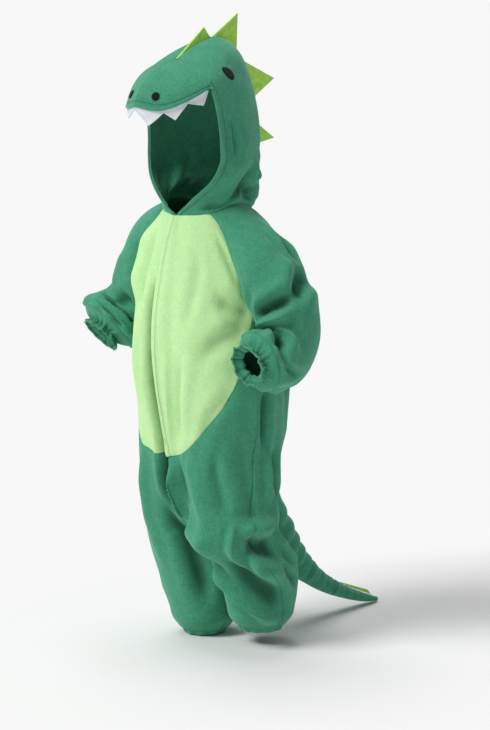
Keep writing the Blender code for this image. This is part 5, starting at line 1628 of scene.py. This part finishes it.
def make_tail(cloth):
    """The tail's two panels, from the seat to the closed tip."""
    s = np.linspace(0, len(TAIL["y"]) - 1, TAIL_ROWS + 1)[:, None]
    turn = np.linspace(0, 0.5, TAIL_COLUMNS + 1)[None, :]
    for side, word in SIDES:
        grid = tail_point(s, turn)
        grid = grid + tail_start(side, s, turn, grid)
        centre = (grid[:, :1] + grid[:, -1:]) / 2
        normals = outward_normals(grid, centre)
        height = crease_height(turn, s, TAIL_METRES, TAIL_CREASES, cloth.creases)
        height = height + seam_dip(grid, ("left", "right", "bottom"), TAIL_DIP * cloth.seam_dip)
        height = height * (1 - edge_mask(grid, ("top",)))
        grid = clear_of_middle(grid + height[..., None] * normals, 1) * (side, 1, 1)
        sewn(f"tail_{word}", grid, normals * (side, 1, 1), "fleece_green")


def tail_start(side, s, turn, grid):
    """What moves the tail's first ring onto the seat, fading out along the tail."""
    angle = 2 * math.pi * turn
    x = TAIL_BASE["wide"] * np.sin(angle[0])
    z = TAIL_BASE["z"] + TAIL_BASE["tall"] * np.cos(angle[0])
    clearance = SEAM_GAP * (TAIL_OFF + TAIL_OFF_BELOW * np.linspace(0, 1, len(x)))
    ring = np.stack([x, seat_y(side, x, z) + clearance, z], axis=-1)
    ease = (1 - smooth(0.0, TAIL_START_END, s))[..., None]
    return (ring - grid[0])[None] * ease


# Stage


def make_stage(stage):
    """The floor, the room's light, two soft suns and the camera."""
    scene = bpy.context.scene
    bpy.ops.mesh.primitive_plane_add(size=FLOOR_SIZE, location=(0, 0, FLOOR - FLOOR_BELOW))
    floor = bpy.context.active_object
    floor.name = "floor"
    material, _, shader, _ = new_material("floor_paper")
    shader.inputs["Base Color"].default_value = FLOOR_COLOUR
    shader.inputs["Roughness"].default_value = 1.0
    shader.inputs["Specular IOR Level"].default_value = 0.0
    floor.data.materials.append(material)
    world = bpy.data.worlds.new("room")
    scene.world = world
    world.use_nodes = True
    world.node_tree.nodes["Background"].inputs["Color"].default_value = (1, 1, 1, 1)
    world.node_tree.nodes["Background"].inputs["Strength"].default_value = stage.ambient
    view_from = np.array((math.sin(stage.azimuth), -math.cos(stage.azimuth), 0.0))
    right = np.array((math.cos(stage.azimuth), math.sin(stage.azimuth), 0.0))
    for name, sun in SUNS.items():
        data = bpy.data.lights.new(name, "SUN")
        data.energy = sun["share"] * stage.key
        data.angle = math.radians(sun["angle"])
        lamp = bpy.data.objects.new(name, data)
        scene.collection.objects.link(lamp)
        direction = view_from * sun["toward"] + right * sun["aside"] + np.array((0, 0, sun["up"]))
        lamp.location = (direction * 2).tolist()
        lamp.rotation_mode = "QUATERNION"
        lamp.rotation_quaternion = Vector(direction.tolist()).to_track_quat("Z", "Y")
    data = bpy.data.cameras.new("camera")
    data.lens = stage.lens
    data.sensor_width = 36.0
    camera = bpy.data.objects.new("camera", data)
    scene.collection.objects.link(camera)
    camera.location = (stage.distance * math.sin(stage.azimuth), -stage.distance * math.cos(stage.azimuth),
                       stage.height - SHOULDER_HEIGHT)
    camera.rotation_euler = (math.pi / 2 - stage.pitch, 0, stage.azimuth + stage.yaw)
    scene.camera = camera
    scene.view_settings.view_transform = "Standard"


# Operators


class COSTUME_OT_materials(Operator):
    """Make the fleece and felt materials"""

    bl_idname = "costume.materials"
    bl_label = "Materials"

    def execute(self, context):
        make_materials(context.scene.costume_cloth)
        return {"FINISHED"}


class COSTUME_OT_belly(Operator):
    """Make the two lime panels, the left lapped over the right"""

    bl_idname = "costume.belly"
    bl_label = "Belly"

    def execute(self, context):
        make_belly(context.scene.costume_cloth)
        return {"FINISHED"}


class COSTUME_OT_legs(Operator):
    """Make the green fronts of the legs"""

    bl_idname = "costume.legs"
    bl_label = "Legs"

    def execute(self, context):
        make_legs(context.scene.costume_cloth)
        return {"FINISHED"}


class COSTUME_OT_back(Operator):
    """Make the two back panels"""

    bl_idname = "costume.back"
    bl_label = "Back"

    def execute(self, context):
        make_back(context.scene.costume_cloth)
        return {"FINISHED"}


class COSTUME_OT_sleeves(Operator):
    """Make the raglan sleeves"""

    bl_idname = "costume.sleeves"
    bl_label = "Sleeves"

    def execute(self, context):
        make_sleeves(context.scene.costume_cloth)
        return {"FINISHED"}


class COSTUME_OT_cuffs(Operator):
    """Make the gathered cuffs"""

    bl_idname = "costume.cuffs"
    bl_label = "Cuffs"

    def execute(self, context):
        make_cuffs(context.scene.costume_cloth)
        return {"FINISHED"}


class COSTUME_OT_leg_hems(Operator):
    """Make the gathered ankle hems"""

    bl_idname = "costume.leg_hems"
    bl_label = "Leg hems"

    def execute(self, context):
        make_leg_hems()
        return {"FINISHED"}


class COSTUME_OT_hood(Operator):
    """Make the hood's sides and its hem"""

    bl_idname = "costume.hood"
    bl_label = "Hood"

    def execute(self, context):
        make_hood(context.scene.costume_cloth)
        return {"FINISHED"}


class COSTUME_OT_snout(Operator):
    """Make the snout with its brim"""

    bl_idname = "costume.snout"
    bl_label = "Snout"

    def execute(self, context):
        make_snout(context.scene.costume_cloth)
        return {"FINISHED"}


class COSTUME_OT_teeth(Operator):
    """Make the felt teeth"""

    bl_idname = "costume.teeth"
    bl_label = "Teeth"

    def execute(self, context):
        make_teeth(context.scene.costume_cloth)
        return {"FINISHED"}


class COSTUME_OT_spikes(Operator):
    """Make the felt spikes of the hood and tail"""

    bl_idname = "costume.spikes"
    bl_label = "Spikes"

    def execute(self, context):
        make_spikes(context.scene.costume_cloth)
        return {"FINISHED"}


class COSTUME_OT_face(Operator):
    """Make the felt eyes and nostrils"""

    bl_idname = "costume.face"
    bl_label = "Eyes and nostrils"

    def execute(self, context):
        make_face()
        return {"FINISHED"}


class COSTUME_OT_tail(Operator):
    """Make the tail"""

    bl_idname = "costume.tail"
    bl_label = "Tail"

    def execute(self, context):
        make_tail(context.scene.costume_cloth)
        return {"FINISHED"}


class COSTUME_OT_stage(Operator):
    """Make the floor, the lights and the camera"""

    bl_idname = "costume.stage"
    bl_label = "Stage"

    def execute(self, context):
        make_stage(context.scene.costume_stage)
        return {"FINISHED"}


MAKERS = (
    COSTUME_OT_materials,
    COSTUME_OT_belly,
    COSTUME_OT_legs,
    COSTUME_OT_back,
    COSTUME_OT_sleeves,
    COSTUME_OT_cuffs,
    COSTUME_OT_leg_hems,
    COSTUME_OT_hood,
    COSTUME_OT_snout,
    COSTUME_OT_teeth,
    COSTUME_OT_spikes,
    COSTUME_OT_face,
    COSTUME_OT_tail,
    COSTUME_OT_stage,
)


class COSTUME_PT_panel(Panel):
    """Lists the costume's pieces."""

    bl_label = "Dinosaur costume"
    bl_space_type = "VIEW_3D"
    bl_region_type = "UI"
    bl_category = "Costume"

    def draw(self, context):
        for group in (context.scene.costume_cloth, context.scene.costume_stage):
            for name in type(group).__annotations__:
                self.layout.prop(group, name)
        for maker in MAKERS:
            self.layout.operator(maker.bl_idname)


CLASSES = (CostumeCloth, CostumeStage, *MAKERS, COSTUME_PT_panel)


def register():
    """Adds the classes and the scene's two groups of values."""
    for made in CLASSES:
        bpy.utils.register_class(made)
    bpy.types.Scene.costume_cloth = PointerProperty(type=CostumeCloth)
    bpy.types.Scene.costume_stage = PointerProperty(type=CostumeStage)


def unregister():
    """Takes away what register added."""
    del bpy.types.Scene.costume_stage
    del bpy.types.Scene.costume_cloth
    for made in reversed(CLASSES):
        bpy.utils.unregister_class(made)


def main():
    """Makes every piece in order."""
    register()
    for maker in MAKERS:
        getattr(bpy.ops.costume, maker.bl_idname.split(".")[1])()


if __name__ == "__main__":
    main()
